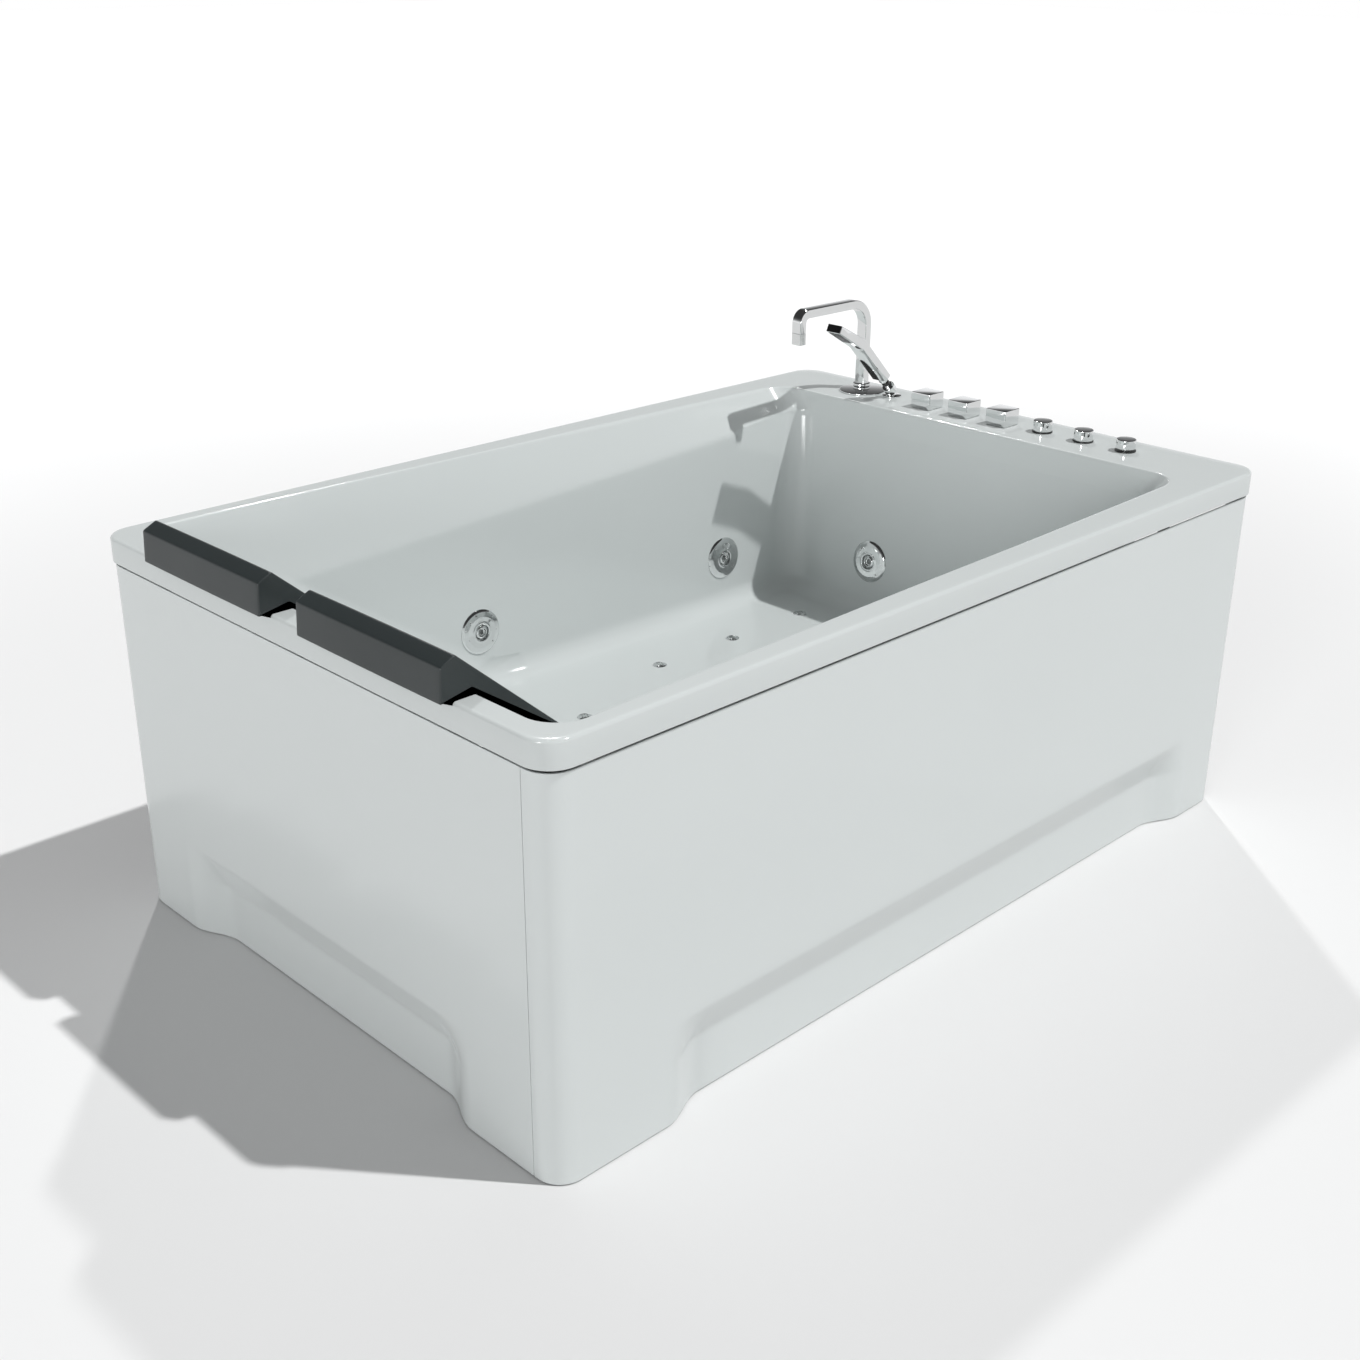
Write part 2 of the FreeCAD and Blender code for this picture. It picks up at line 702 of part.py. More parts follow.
def apron_strip(name, inset):
    """The outline that both aprons follow, open at the foot end and the far side."""
    raw = box(name + "_raw", head_edge + apron_setback + inset, -half_width + apron_setback + inset, apron_gap,
              tub_length - apron_setback * 2 - inset + 10 * int(float(inset) > 0),
              tub_width - (apron_setback + inset) * 2, rim_height - rim_lip - apron_gap * 2)
    return rounded(name, raw, rim_corner - apron_setback - inset, is_upright)


def s_curve(start, end, from_line, to_line):
    """Two arcs that lead from one straight line to a parallel one."""
    length = abs(end - start)
    depth = abs(to_line - from_line)
    bend = (length ** 2 + depth ** 2) / (4 * depth)
    half_angle = math.asin(length / 2 / bend) / 2
    toward = 1 if end > start else -1
    inward = 1 if to_line > from_line else -1
    middle = FreeCAD.Vector((start + end) / 2, (from_line + to_line) / 2, 0)
    first = FreeCAD.Vector(start + toward * bend * math.sin(half_angle),
                           from_line + inward * bend * (1 - math.cos(half_angle)), 0)
    last = FreeCAD.Vector(end - toward * bend * math.sin(half_angle),
                          to_line - inward * bend * (1 - math.cos(half_angle)), 0)
    begin = FreeCAD.Vector(start, from_line, 0)
    finish = FreeCAD.Vector(end, to_line, 0)
    return [Part.Arc(begin, first, middle).toShape(), Part.Arc(middle, last, finish).toShape()]


def toe_recess(start, end, face_line, thick):
    """The foot recess along X, cut into a face that looks towards -Y; thick pushes its walls inwards."""
    shift = float(thick)
    depth = float(toe_depth)
    inner = face_line + depth + shift
    outer = face_line + shift
    blend = float(toe_blend)
    left = s_curve(start - shift, start + blend - shift, outer, inner)
    right = s_curve(end - blend + shift, end + shift, inner, outer)
    begin = FreeCAD.Vector(start - shift, outer, 0)
    finish = FreeCAD.Vector(end + shift, outer, 0)
    front_left = FreeCAD.Vector(start - shift, face_line - 20, 0)
    front_right = FreeCAD.Vector(end + shift, face_line - 20, 0)
    back_left = FreeCAD.Vector(start + blend - shift, inner, 0)
    back_right = FreeCAD.Vector(end - blend + shift, inner, 0)
    edges = [Part.makeLine(front_left, begin)] + left + [Part.makeLine(back_left, back_right)] + right
    edges += [Part.makeLine(finish, front_right), Part.makeLine(front_right, front_left)]
    plan = Part.Face(Part.Wire(edges)).extrude(FreeCAD.Vector(0, 0, float(toe_height) + 100))
    top = float(toe_height) + shift * 1.1
    low = float(toe_height - toe_slope) + shift * 1.1
    profile = [(face_line - 20, 0), (inner, 0), (inner, low), (outer, top), (face_line - 20, top)]
    corners = [FreeCAD.Vector(start - 50, y, z) for y, z in profile]
    side = Part.Face(Part.makePolygon(corners + corners[:1])).extrude(FreeCAD.Vector(end - start + 100, 0, 0))
    return plan.common(side)


front_face = float(-half_width + apron_setback)
head_face = float(head_edge + apron_setback)
front_recess = toe_recess(float(head_edge + toe_front_start), float(foot_edge - toe_front_end), front_face, 0)
front_recess_thick = toe_recess(
    float(head_edge + toe_front_start), float(foot_edge - toe_front_end), front_face, apron_wall)
# the recess of the head apron is drawn along X in the same way and then turned to face -X
quarter_turn = FreeCAD.Placement(FreeCAD.Vector(0, 0, 0), FreeCAD.Rotation(FreeCAD.Vector(0, 0, 1), -90))
head_start = -float(half_width - toe_head_end)
head_end = float(half_width - toe_head_start)
head_recess = toe_recess(head_start, head_end, head_face, 0)
head_recess_thick = toe_recess(head_start, head_end, head_face, apron_wall)
for recess in (head_recess, head_recess_thick):
    recess.Placement = quarter_turn

strip_outside = apron_strip("apron_outside", 0)
strip = cut("apron_ring", strip_outside, apron_strip("apron_inside", apron_wall))
seam_y = -half_width + apron_setback + apron_seam
front_zone = box("front_zone", head_edge, -half_width, 0, tub_length, apron_setback + apron_seam, rim_height)
head_zone = box("head_zone", head_edge, seam_y + seam_gap, 0, rim_corner + 20, tub_width, rim_height)


def apron(name, zone, recess_thick, recess):
    """One apron: its stretch of the strip, with the recess pressed into it."""
    stretch = doc.addObject("Part::Common", name + "_stretch")
    stretch.Base = strip
    stretch.Tool = zone
    tray = doc.addObject("Part::Common", name + "_tray")
    tray.Base = solid_feature(name + "_tray_thick", recess_thick.cut(recess))
    tray.Tool = strip_outside
    opening = solid_feature(name + "_recess", recess)
    return node(name, fuse(name, cut(name + "_opened", stretch, opening), tray))


apron("front_apron", front_zone, front_recess_thick, front_recess)
apron("head_apron", head_zone, head_recess_thick, head_recess)

clips = []
clip_z = rim_height - rim_lip - clip_drop
for number in range(4):
    clips.append(box("front_clip_" + str(number), clip_first + clip_spacing * number,
                     -half_width + apron_setback + apron_wall, clip_z, clip_length, frame_gap, clip_height))
for number in range(3):
    clips.append(box("head_clip_" + str(number), head_edge + apron_setback + apron_wall,
                     -clip_spacing + clip_spacing * number - clip_length / 2, clip_z,
                     frame_gap, clip_length, clip_height))
node("apron_clips", group("apron_clips", clips))


# ---------------------------------------------------------------- frame of square bars, and the feet

frame_head = head_edge + frame_inset_head
frame_foot = foot_edge - frame_inset_foot
side_line = half_width - frame_inset_side
rail_top = frame_height + tube


def bar_across(name, x, z, half):
    """A square bar along Y whose middle line is at x."""
    return box(name, x - tube / 2, -half, z, tube, half * 2, tube)


def bar_along(name, y, z, start, end):
    """A square bar along X whose middle line is at y."""
    return box(name, start, y - tube / 2, z, end - start, tube, tube)


end_half = side_line + frame_post_offset
rails = [bar_across("end_rail_head", frame_head, frame_height, end_half),
         bar_across("end_rail_foot", frame_foot, frame_height, end_half),
         bar_across("cross_rail_pump", frame_head + pump_bay, frame_height, side_line - tube / 2),
         bar_across("cross_rail_middle", 0, frame_height, side_line - tube / 2)]
for side in (-1, 1):
    rails.append(bar_along("side_rail_" + ("far" if side > 0 else "near"), side_line * side, frame_height,
                           frame_head + tube / 2, frame_foot - tube / 2))
node("frame_base", fuse("frame_base", *rails))
feet = []
for column, x in enumerate((frame_head, frame_head / 3, frame_foot / 3, frame_foot)):
    for side in (-1, 1):
        tag = str(column) + ("f" if side > 0 else "n")
        pad = prism("foot_pad_" + tag, x, side_line * side, 0, foot_pad, foot_thickness, 12)
        stud = prism("foot_stud_" + tag, x, side_line * side, foot_thickness / 2, stud_radius,
                     frame_height - foot_thickness / 2, 8)
        feet.append(fuse("foot_" + tag, pad, stud))
node("levelling_feet", group("levelling_feet", feet))

rim_rail_low = deck_under - rim_rail_height
posts = []
for x in (frame_head, frame_foot):
    for side in (-1, 1):
        y = (end_half - tube / 2) * side
        posts.append(box("post_" + str(len(posts)), x - tube / 2, y - tube / 2, rail_top,
                         tube, tube, rim_rail_low - rail_top))
node("frame_posts", group("frame_posts", posts))

rail_outside = rounded(
    "rim_rail_outside", box("rim_rail_outside_raw", head_edge + rim_rail_inset, -half_width + rim_rail_inset,
                            rim_rail_low, tub_length - rim_rail_inset * 2, tub_width - rim_rail_inset * 2,
                            rim_rail_height), rim_corner - rim_rail_inset, is_upright)
rail_inset = rim_rail_inset + rim_rail_width
rail_inside = rounded(
    "rim_rail_inside", box("rim_rail_inside_raw", head_edge + rail_inset, -half_width + rail_inset,
                           rim_rail_low - 1, tub_length - rail_inset * 2, tub_width - rail_inset * 2,
                           rim_rail_height + 2), rim_corner - rail_inset, is_upright)
node("frame_rim_rails", cut("frame_rim_rails", rail_outside, rail_inside))

board_top = floor_height - shell_wall
board_low = board_top - board_thickness
cradle_low = board_low - tube
cradle_parts = []
for x in (cradle_head, cradle_foot):
    cradle_parts.append(bar_across("cradle_bar_" + str(len(cradle_parts)), x, cradle_low, side_line + tube / 2))
    for side in (-1, 1):
        cradle_parts.append(box("cradle_leg_" + str(len(cradle_parts)), x - tube / 2,
                                side_line * side - tube / 2, rail_top, tube, tube, cradle_low - rail_top))
cradles = [fuse("cradle_head_frame", *cradle_parts[:3]), fuse("cradle_foot_frame", *cradle_parts[3:])]
node("frame_cradle", group("frame_cradle", cradles))

board_blank = box("base_board_blank", board_start, -board_half, board_low, board_length, board_half * 2,
                  board_thickness)
board_hole = cylinder("base_board_hole", drain_x, 0, board_low - 1, board_opening, board_thickness + 2)
node("base_board", cut("base_board", board_blank, board_hole))


# ---------------------------------------------------------------- pillows

pillow_back_x = head_edge - pillow_overhang
backrest_slope = math.atan2(float(rim_height - floor_height), float(backrest_run))


def backrest_point(along, lift):
    """A point lifted square off the backrest, at a distance down it from the rim."""
    x = float(basin_head) + along * math.cos(backrest_slope) + lift * math.sin(backrest_slope)
    z = float(rim_height) - along * math.sin(backrest_slope) + lift * math.cos(backrest_slope)
    return x, z


def pillow_outline():
    """Side view of a pillow: a block over the rim and a tongue that lies on the backrest."""
    back = float(pillow_back_x)
    rim = float(rim_height) + float(soft_gap)
    tip_low = backrest_point(float(tongue_length), float(soft_gap))
    tip_high = backrest_point(float(tongue_length) + float(tongue_tip_slant), float(tongue_tip))
    seat = backrest_point(float(tongue_start), float(soft_gap))
    return [(back, rim), (back + float(pillow_lean), rim + float(pillow_back_height)),
            (back + float(pillow_top_run), rim + float(pillow_height)), tip_high, tip_low, seat,
            (back + float(pillow_notch_run), rim + float(pillow_notch_rise)),
            (back + float(pillow_lip), rim)]


def pillow_solid(middle, width):
    """The pillow's outline drawn across the tub, with its long edges rounded and its ends bevelled."""
    corners = [FreeCAD.Vector(x, middle - width / 2, z) for x, z in pillow_outline()]
    block = Part.Face(Part.makePolygon(corners + corners[:1])).extrude(FreeCAD.Vector(0, width, 0))
    radii = {0: 6, 1: 16, 2: 22, 3: 9}
    for number, radius in radii.items():
        x, z = pillow_outline()[number]
        near = [edge for edge in block.Edges
                if edge.BoundBox.YLength > width - 1 and abs(edge.CenterOfMass.x - x) < 0.5
                and abs(edge.CenterOfMass.z - z) < 0.5]
        block = block.makeFillet(radius, near)
    ends = [edge for edge in block.Edges if edge.BoundBox.YLength < 0.01]
    return block.makeChamfer(float(pillow_end_round) / 2, ends)


for pillow_name, side in (("pillow_far", 1), ("pillow_near", -1)):
    node(pillow_name, solid_feature(pillow_name, pillow_solid(side * float(pillow_middle), float(pillow_width))))


# ---------------------------------------------------------------- spout, hand shower

def side_solid(name, outline, middle, width, softened):
    """A piece drawn in side view (X, Z) and given its width along Y."""
    points = [FreeCAD.Vector(x, middle - width / 2, z) for x, z in outline]
    blank = Part.Face(Part.makePolygon(points + points[:1])).extrude(FreeCAD.Vector(0, width, 0))
    for number, radius in softened.items():
        x, z = outline[number]
        near = [edge for edge in blank.Edges
                if edge.BoundBox.YLength > width - 0.1 and abs(edge.CenterOfMass.x - x) < 0.1
                and abs(edge.CenterOfMass.z - z) < 0.1]
        blank = blank.makeFillet(radius, near)
    return solid_feature(name, blank)


spout_x = foot_edge - spout_line
spout_low = rim_height + rosette_height
spout_back = float(spout_x + spout_depth / 2)
spout_tip = float(spout_x - spout_reach)
tip_back = spout_tip - float(spout_depth) / 2
spout_top = float(rim_height + spout_rise)
spout_end = spout_top - float(spout_drop)
depth = float(spout_depth)
inner_bend = float(spout_bend) - depth
spout_outline = [(spout_back, float(spout_low)), (spout_back, spout_top), (tip_back, spout_top),
                 (tip_back, spout_end), (tip_back + depth, spout_end), (tip_back + depth, spout_top - depth),
                 (spout_back - depth, spout_top - depth), (spout_back - depth, float(spout_low))]
spout_arch = side_solid("spout_arch", spout_outline, float(spout_side), float(spout_width),
                        {1: float(spout_bend), 2: float(spout_bend), 5: inner_bend, 6: inner_bend})
spout_collar_part = prism("spout_collar", spout_x, spout_side, spout_low, spout_collar, collar_height, 20)
spout_spigot_part = cylinder("spout_spigot_rod", spout_x, spout_side, rim_height - spigot_length, spout_spigot,
                             spigot_length + rosette_height + 1)
spout_mouth = cylinder("spout_mouth", spout_tip, spout_side, spout_end - 1, aerator_radius + press_gap,
                       aerator_height + 1)
node("spout", cut("spout", fuse("spout_body", spout_arch, spout_collar_part, spout_spigot_part), spout_mouth))

aerator_body = prism("aerator_body", spout_tip, spout_side, spout_end - 1, aerator_radius, aerator_height, 16)
aerator_hole = prism("aerator_hole", spout_tip, spout_side, spout_end - 2, aerator_radius - 2,
                     aerator_height, 16)
node("spout_aerator", cut("spout_aerator", aerator_body, aerator_hole))

rosette_plate = prism("rosette_plate", spout_x - rosette_shift, spout_side - rosette_shift, rim_height,
                      rosette_radius, rosette_height, 32)
rosette_bore = cylinder("rosette_bore", spout_x, spout_side, rim_height - 1, spout_spigot + running_gap / 3,
                        rosette_height + 2)
node("spout_rosette", cut("spout_rosette", rosette_plate, rosette_bore))

shower_x = foot_edge - shower_line
slant = math.sqrt(0.5)
wand_root = (float(shower_x) - float(wand_root_back), float(rim_height) + float(wand_root_rise))


def along_wand(distance, lift):
    """A point along the wand's slanting middle line, and square off it."""
    return (wand_root[0] - (distance - lift) * slant, wand_root[1] + (distance + lift) * slant)


half_wand = float(wand_depth) / 2
bend_high = along_wand(float(wand_length), half_wand)
bend_low = along_wand(float(wand_length) - float(wand_elbow), -half_wand)
tip = (bend_high[0] - float(head_run), bend_high[1] + float(head_rise))
tip_under = (tip[0] - float(head_lean), tip[1] - float(head_depth))
wand_outline = [along_wand(0, -half_wand), bend_low, tip_under, tip, bend_high, along_wand(0, half_wand)]
wand = side_solid("wand_blank", wand_outline, float(shower_side), float(wand_width), {1: 12.0, 4: 12.0})
slant_turn = FreeCAD.Rotation(FreeCAD.Vector(0, 0, 1), FreeCAD.Vector(slant, 0, -slant))


def slanted_rod(name, start, radius, length):
    """A rod on the wand's middle line, running down from a distance along it."""
    x, z = along_wand(start, 0)
    rod = doc.addObject("Part::Prism", name)
    rod.Polygon = 16
    bind(rod, "Circumradius", radius)
    bind(rod, "Height", length)
    rod.Placement = FreeCAD.Placement(FreeCAD.Vector(x, float(shower_side), z), slant_turn)
    return rod


neck = slanted_rod("wand_neck", 1, neck_radius, neck_length + 1)
face_cut = solid_feature("spray_face_seat", Part.makeBox(
    float(spray_length), float(wand_width) - 2 * float(spray_margin), float(spray_depth)))
face_angle = math.degrees(math.atan2(bend_low[1] - tip_under[1], bend_low[0] - tip_under[0]))
face_seat = FreeCAD.Placement(
    FreeCAD.Vector(tip_under[0], float(shower_side - wand_width / 2 + spray_margin), tip_under[1]),
    FreeCAD.Rotation(FreeCAD.Vector(0, 1, 0), -face_angle))
face_seat = face_seat.multiply(FreeCAD.Placement(
    FreeCAD.Vector(float(spray_start), 0, -float(spray_proud)), FreeCAD.Rotation()))
face_cut.Placement = face_seat
node("hand_shower", cut("hand_shower", fuse("hand_shower_body", wand, neck), face_cut))
spray_face = doc.addObject("Part::Box", "shower_spray_face")
bind(spray_face, "Length", spray_length)
bind(spray_face, "Width", wand_width - spray_margin * 2)
bind(spray_face, "Height", spray_depth)
spray_face.Placement = face_seat
node("shower_spray_face", spray_face)

cup = slanted_rod("socket_cup", -cup_start, cup_radius, cup_length)
cup_bore = slanted_rod("socket_bore", -cup_start + 1, neck_radius + running_gap / 3,
                       neck_length - cup_start + running_gap + 1)
socket_base = prism("socket_base", shower_x, shower_side, rim_height, socket_radius, rosette_height, 20)
socket_stem = prism("socket_stem", shower_x, shower_side, rim_height - spigot_length / 2, spout_spigot,
                    spigot_length / 2 + socket_rise, 12)
node("shower_socket", cut("shower_socket", fuse("socket_body", socket_base, socket_stem, cup), cup_bore))


# ---------------------------------------------------------------- knobs on the deck, and the valves under it

valve_low = deck_under - valve_length
bore_low = rim_height - spindle_length
for knob_name, y in square_knob_spots.items():
    grip_raw = box(knob_name + "_raw", square_knob_x - square_knob / 2, y - square_knob / 2, rim_height + knob_lift,
                   square_knob, square_knob, square_knob_height)
    grip = rounded(knob_name + "_grip", grip_raw, knob_round, is_upright)
    spindle = prism(knob_name + "_spindle", square_knob_x, y, bore_low + running_gap, spindle_radius,
                    spindle_length + knob_lift + 5 - running_gap, 12)
    node(knob_name, fuse(knob_name, grip, spindle))


def round_grip(name, y, low, height):
    """A round knob with its spindle."""
    grip = cylinder(name + "_grip", round_knob_x, y, low, round_knob, height)
    spindle = prism(name + "_spindle", round_knob_x, y, bore_low + running_gap, spindle_radius,
                    low - bore_low + 5 - running_gap, 12)
    return grip, spindle


ring_top = rim_height + ring_height
for knob_name in ("air_knob_left", "air_knob_right"):
    grip, spindle = round_grip(knob_name, round_knob_spots[knob_name], ring_top + knob_lift / 2, round_knob_height)
    node(knob_name, fuse(knob_name, grip, spindle))

button_y = round_knob_spots["pump_button"]
button_low = ring_top + button_travel + knob_lift / 2
button_grip = cylinder("pump_button_grip", round_knob_x, button_y, button_low, round_knob,
                       round_knob_height - button_travel)
button_hollow = prism("pump_button_hollow", round_knob_x, button_y, button_low - 1, round_knob - button_wall,
                      button_cavity + 1, 16)
button_cap = cut("pump_button_cap", button_grip, button_hollow)
button_stem = prism("pump_button_stem", round_knob_x, button_y, bore_low + button_travel + running_gap,
                    spindle_radius, button_low + button_cavity + 1 - bore_low - button_travel - running_gap, 12)
node("pump_button", fuse("pump_button", button_cap, button_stem))

rings = []
for knob_name, y in round_knob_spots.items():
    ring = prism(knob_name + "_ring_disc", round_knob_x, y, rim_height, ring_radius, ring_height, 24)
    bore = prism(knob_name + "_ring_bore", round_knob_x, y, rim_height - 1, spindle_radius + 1, ring_height + 2, 12)
    rings.append(cut(knob_name + "_ring", ring, bore))
node("knob_rings", group("knob_rings", rings))


def valve_body(name, x, y):
    """The body of a valve that hangs under the deck, before its spindle bore."""
    barrel = prism(name + "_barrel", x, y, valve_low, valve_radius, valve_length - valve_neck, 6)
    neck = prism(name + "_neck", x, y, deck_under - valve_neck - 1, spindle_radius + valve_neck_wall,
                 valve_neck + 1, 12)
    return [barrel, neck]


def valve_bore(name, x, y):
    return cylinder(name + "_bore", x, y, bore_low, spindle_radius + bearing_gap, spindle_length)


bridge_z = valve_low + bridge_rise
mixer_parts = []
mixer_bores = []
for knob_name, y in square_knob_spots.items():
    mixer_parts += valve_body(knob_name + "_valve", square_knob_x, y)
    mixer_bores.append(valve_bore(knob_name + "_valve", square_knob_x, y))
last_y = square_knob_spots["diverter_knob"]
mixer_parts.append(prism("mixer_bridge", square_knob_x, last_y, bridge_z, bridge_radius, spout_side - last_y, 12,
                         "Y"))
for outlet_name, x, y in (("spout", foot_edge - spout_line, spout_side),
                          ("shower", foot_edge - shower_line, shower_side)):
    mixer_parts.append(prism("mixer_arm_" + outlet_name, square_knob_x, y, bridge_z, bridge_radius - 1,
                             x - square_knob_x, 12, "X"))
    mixer_parts.append(prism("mixer_riser_" + outlet_name, x, y, bridge_z - bridge_radius,
                             spout_spigot + valve_neck_wall, deck_under - bridge_z + bridge_radius, 8))
mixer_bores.append(cylinder("spout_socket_bore", foot_edge - spout_line, spout_side,
                            rim_height - spigot_length, spout_spigot + bearing_gap, spigot_length))
mixer_bores.append(cylinder("shower_socket_bore", foot_edge - shower_line, shower_side,
                            rim_height - spigot_length / 2, spout_spigot + bearing_gap, spigot_length))
for knob_name in ("hot_knob", "cold_knob"):
    mixer_parts.append(cylinder(knob_name + "_tail", square_knob_x, square_knob_spots[knob_name],
                                valve_low - tail_length, tail_radius, tail_length + 1))
node("mixer_body", cut("mixer_body", fuse("mixer_blank", *mixer_parts), fuse("mixer_bores", *mixer_bores)))

air_valves = []
for knob_name in ("air_knob_left", "air_knob_right"):
    y = round_knob_spots[knob_name]
    blank = fuse(knob_name + "_valve_blank", *valve_body(knob_name + "_valve", round_knob_x, y))
    air_valves.append(cut(knob_name + "_valve", blank, valve_bore(knob_name + "_valve", round_knob_x, y)))
node("air_valve_bodies", group("air_valve_bodies", air_valves))

bellows_blank = fuse("button_bellows_blank", *valve_body("button_bellows", round_knob_x, button_y))
node("button_bellows", cut("button_bellows", bellows_blank,
                           valve_bore("button_bellows", round_knob_x, button_y)))


# ---------------------------------------------------------------- water jets in the walls

ring_side = half_width - ring_inset_side
ring_foot = foot_edge - ring_inset_foot
ring_head = head_edge + ring_inset_head
ring_reach = ring_foot - ring_head + ring_pipe * 2
ring_pipes = [
    prism("water_ring_foot", ring_foot, -ring_side, jet_height, ring_pipe, ring_side * 2, 12, "Y"),
    prism("water_ring_head", ring_head, -ring_side, jet_height, ring_pipe, ring_side * 2, 12, "Y"),
    prism("water_ring_far", ring_head - ring_pipe, ring_side, jet_height, ring_pipe, ring_reach, 12, "X"),
    prism("water_ring_near", ring_head - ring_pipe, -ring_side, jet_height, ring_pipe, ring_reach, 12, "X")]
pump_x = head_edge + pump_inset
wet_middle = pump_wet_start + pump_wet_length / 2
riser_low = rail_top + plate_thickness + pump_axis + pump_wet_radius - 3
ring_pipes.append(prism("water_riser", pump_x, wet_middle, riser_low, ring_pipe, jet_height - riser_low, 12))
ring_pipes.append(prism("water_feed", pump_x - ring_pipe, wet_middle, jet_height, ring_pipe,
                        ring_head - pump_x + ring_pipe, 12, "X"))
water_ring = fuse("water_ring_pipes", *ring_pipes)

def skin_depth(spot, normal):
    """How thick the shell is at a spot, measured square to its inner wall."""
    probe = Part.makeLine(spot - normal * 2, spot + normal * 40).common(outer_skin)
    return max((vertex.Point - spot).dot(normal) for vertex in probe.Vertexes)


jet_housings = []
jet_faces = []
for jet_name, (spot, normal) in jet_spots.items():
    ring_line, wall_line = (ring_side, abs(spot.y)) if abs(normal.y) > 0.5 else (ring_foot, spot.x)
    length = ring_line - ring_pipe + jet_bite - wall_line
    nut_start = skin_depth(spot, normal) + running_gap
    seat = seat_on_wall(spot, normal)
    tube_part = prism("jet_tube_" + jet_name, 0, 0, running_gap, jet_bore + jet_tube_wall, length - running_gap, 12)
    nut = prism("jet_nut_" + jet_name, 0, 0, nut_start, jet_nut, jet_nut_height, 8)
    tube_bore = prism("jet_tube_bore_" + jet_name, 0, 0, 0, jet_bore, length - jet_bite * 2, 12)
    housing = cut("jet_housing_" + jet_name, fuse("jet_housing_blank_" + jet_name, tube_part, nut), tube_bore)
    housing.Placement = seat
    jet_housings.append(housing)
    crown = stacked("jet_crown_" + jet_name, [
        (jet_radius, -running_gap), (jet_radius, -jet_crown * 0.35), (jet_face_flat, -jet_crown)], 24)
    hub = prism("jet_hub_" + jet_name, 0, 0, -jet_crown / 2, jet_bore - running_gap, jet_hub + jet_crown / 2, 12)
    nozzle_seat = prism("nozzle_seat_" + jet_name, 0, 0, -jet_crown - 1, nozzle_ball + running_gap * 2,
                        jet_hub + jet_crown + 2, 16)
    face = cut("jet_face_" + jet_name, fuse("jet_face_blank_" + jet_name, crown, hub), nozzle_seat)
    face.Placement = seat
    jet_faces.append(face)
    ball = stacked("nozzle_ball_" + jet_name, [
        (nozzle_mouth, nozzle_centre - nozzle_front), (nozzle_ball, nozzle_centre),
        (nozzle_mouth, nozzle_centre + nozzle_front)], 16)
    mouth = prism("nozzle_way_" + jet_name, 0, 0, nozzle_centre - nozzle_front - 1, nozzle_bore,
                  nozzle_front * 2 + 2, 12)
    nozzle = cut("jet_nozzle_" + jet_name, ball, mouth)
    nozzle.Placement = seat
    node("jet_nozzle_" + jet_name, nozzle)
node("jet_bodies", cut("jet_bodies", group("jet_housings", jet_housings), water_ring))
node("jet_faces", group("jet_faces", jet_faces))

# air pipe from the two air valves to the top of each jet
air_z = jet_height + air_rise
air_side = ring_side - air_inset
air_foot = ring_foot - air_inset_foot
air_parts = [
    prism("air_foot", air_foot, -air_side - air_pipe, air_z, air_pipe, (air_side + air_pipe) * 2, 8, "Y"),
    prism("air_far", side_jet_x["head"] - air_pipe, air_side, air_z, air_pipe, air_foot - side_jet_x["head"], 8, "X"),
    prism("air_near", side_jet_x["head"] - air_pipe, -air_side, air_z, air_pipe, air_foot - side_jet_x["head"], 8,
          "X")]
spigot_spots = [(air_foot, foot_jet_spacing / 2), (air_foot, -foot_jet_spacing / 2)]
for end_name in ("head", "foot"):
    spigot_spots += [(side_jet_x[end_name], air_side), (side_jet_x[end_name], -air_side)]
for number, (x, y) in enumerate(spigot_spots):
    air_parts.append(prism("air_spigot_" + str(number), x, y, jet_height, air_pipe - 2, air_rise, 8))
for knob_name in ("air_knob_left", "air_knob_right"):
    y = round_knob_spots[knob_name]
    air_parts.append(prism(knob_name + "_drop", round_knob_x, y, air_z - air_pipe, air_pipe,
                           valve_low - air_z + air_pipe, 8))
    air_parts.append(prism(knob_name + "_link", air_foot, y, air_z, air_pipe - 1, round_knob_x - air_foot, 8,
                           "X"))
jet_blocks = group("jet_blocks", [
    prism("jet_block_" + str(number), 0, 0, 0, jet_bore + jet_tube_wall, jet_block_length, 12)
    for number in range(len(jet_spots))])
for block, (spot, normal) in zip(jet_blocks.Links, jet_spots.values()):
    seated(block, seat_on_wall(spot, normal))
node("air_ring", cut("air_ring", fuse("air_pipes", *air_parts), jet_blocks))


# ---------------------------------------------------------------- air jets in the floor

manifold_z = rail_top + manifold_rise
stem_low = manifold_z + manifold_pipe
caps = []
for number, (x, y) in enumerate(air_jet_spots):
    cap = prism("air_jet_cap_" + str(number), x, y, floor_height, air_jet_cap, air_jet_cap_height, 16)
    stem = prism("air_jet_stem_" + str(number), x, y, stem_low, air_jet_stem, floor_height - stem_low + 1, 8)
    caps.append(fuse("air_jet_" + str(number), cap, stem))
node("floor_air_jets", group("floor_air_jets", caps))

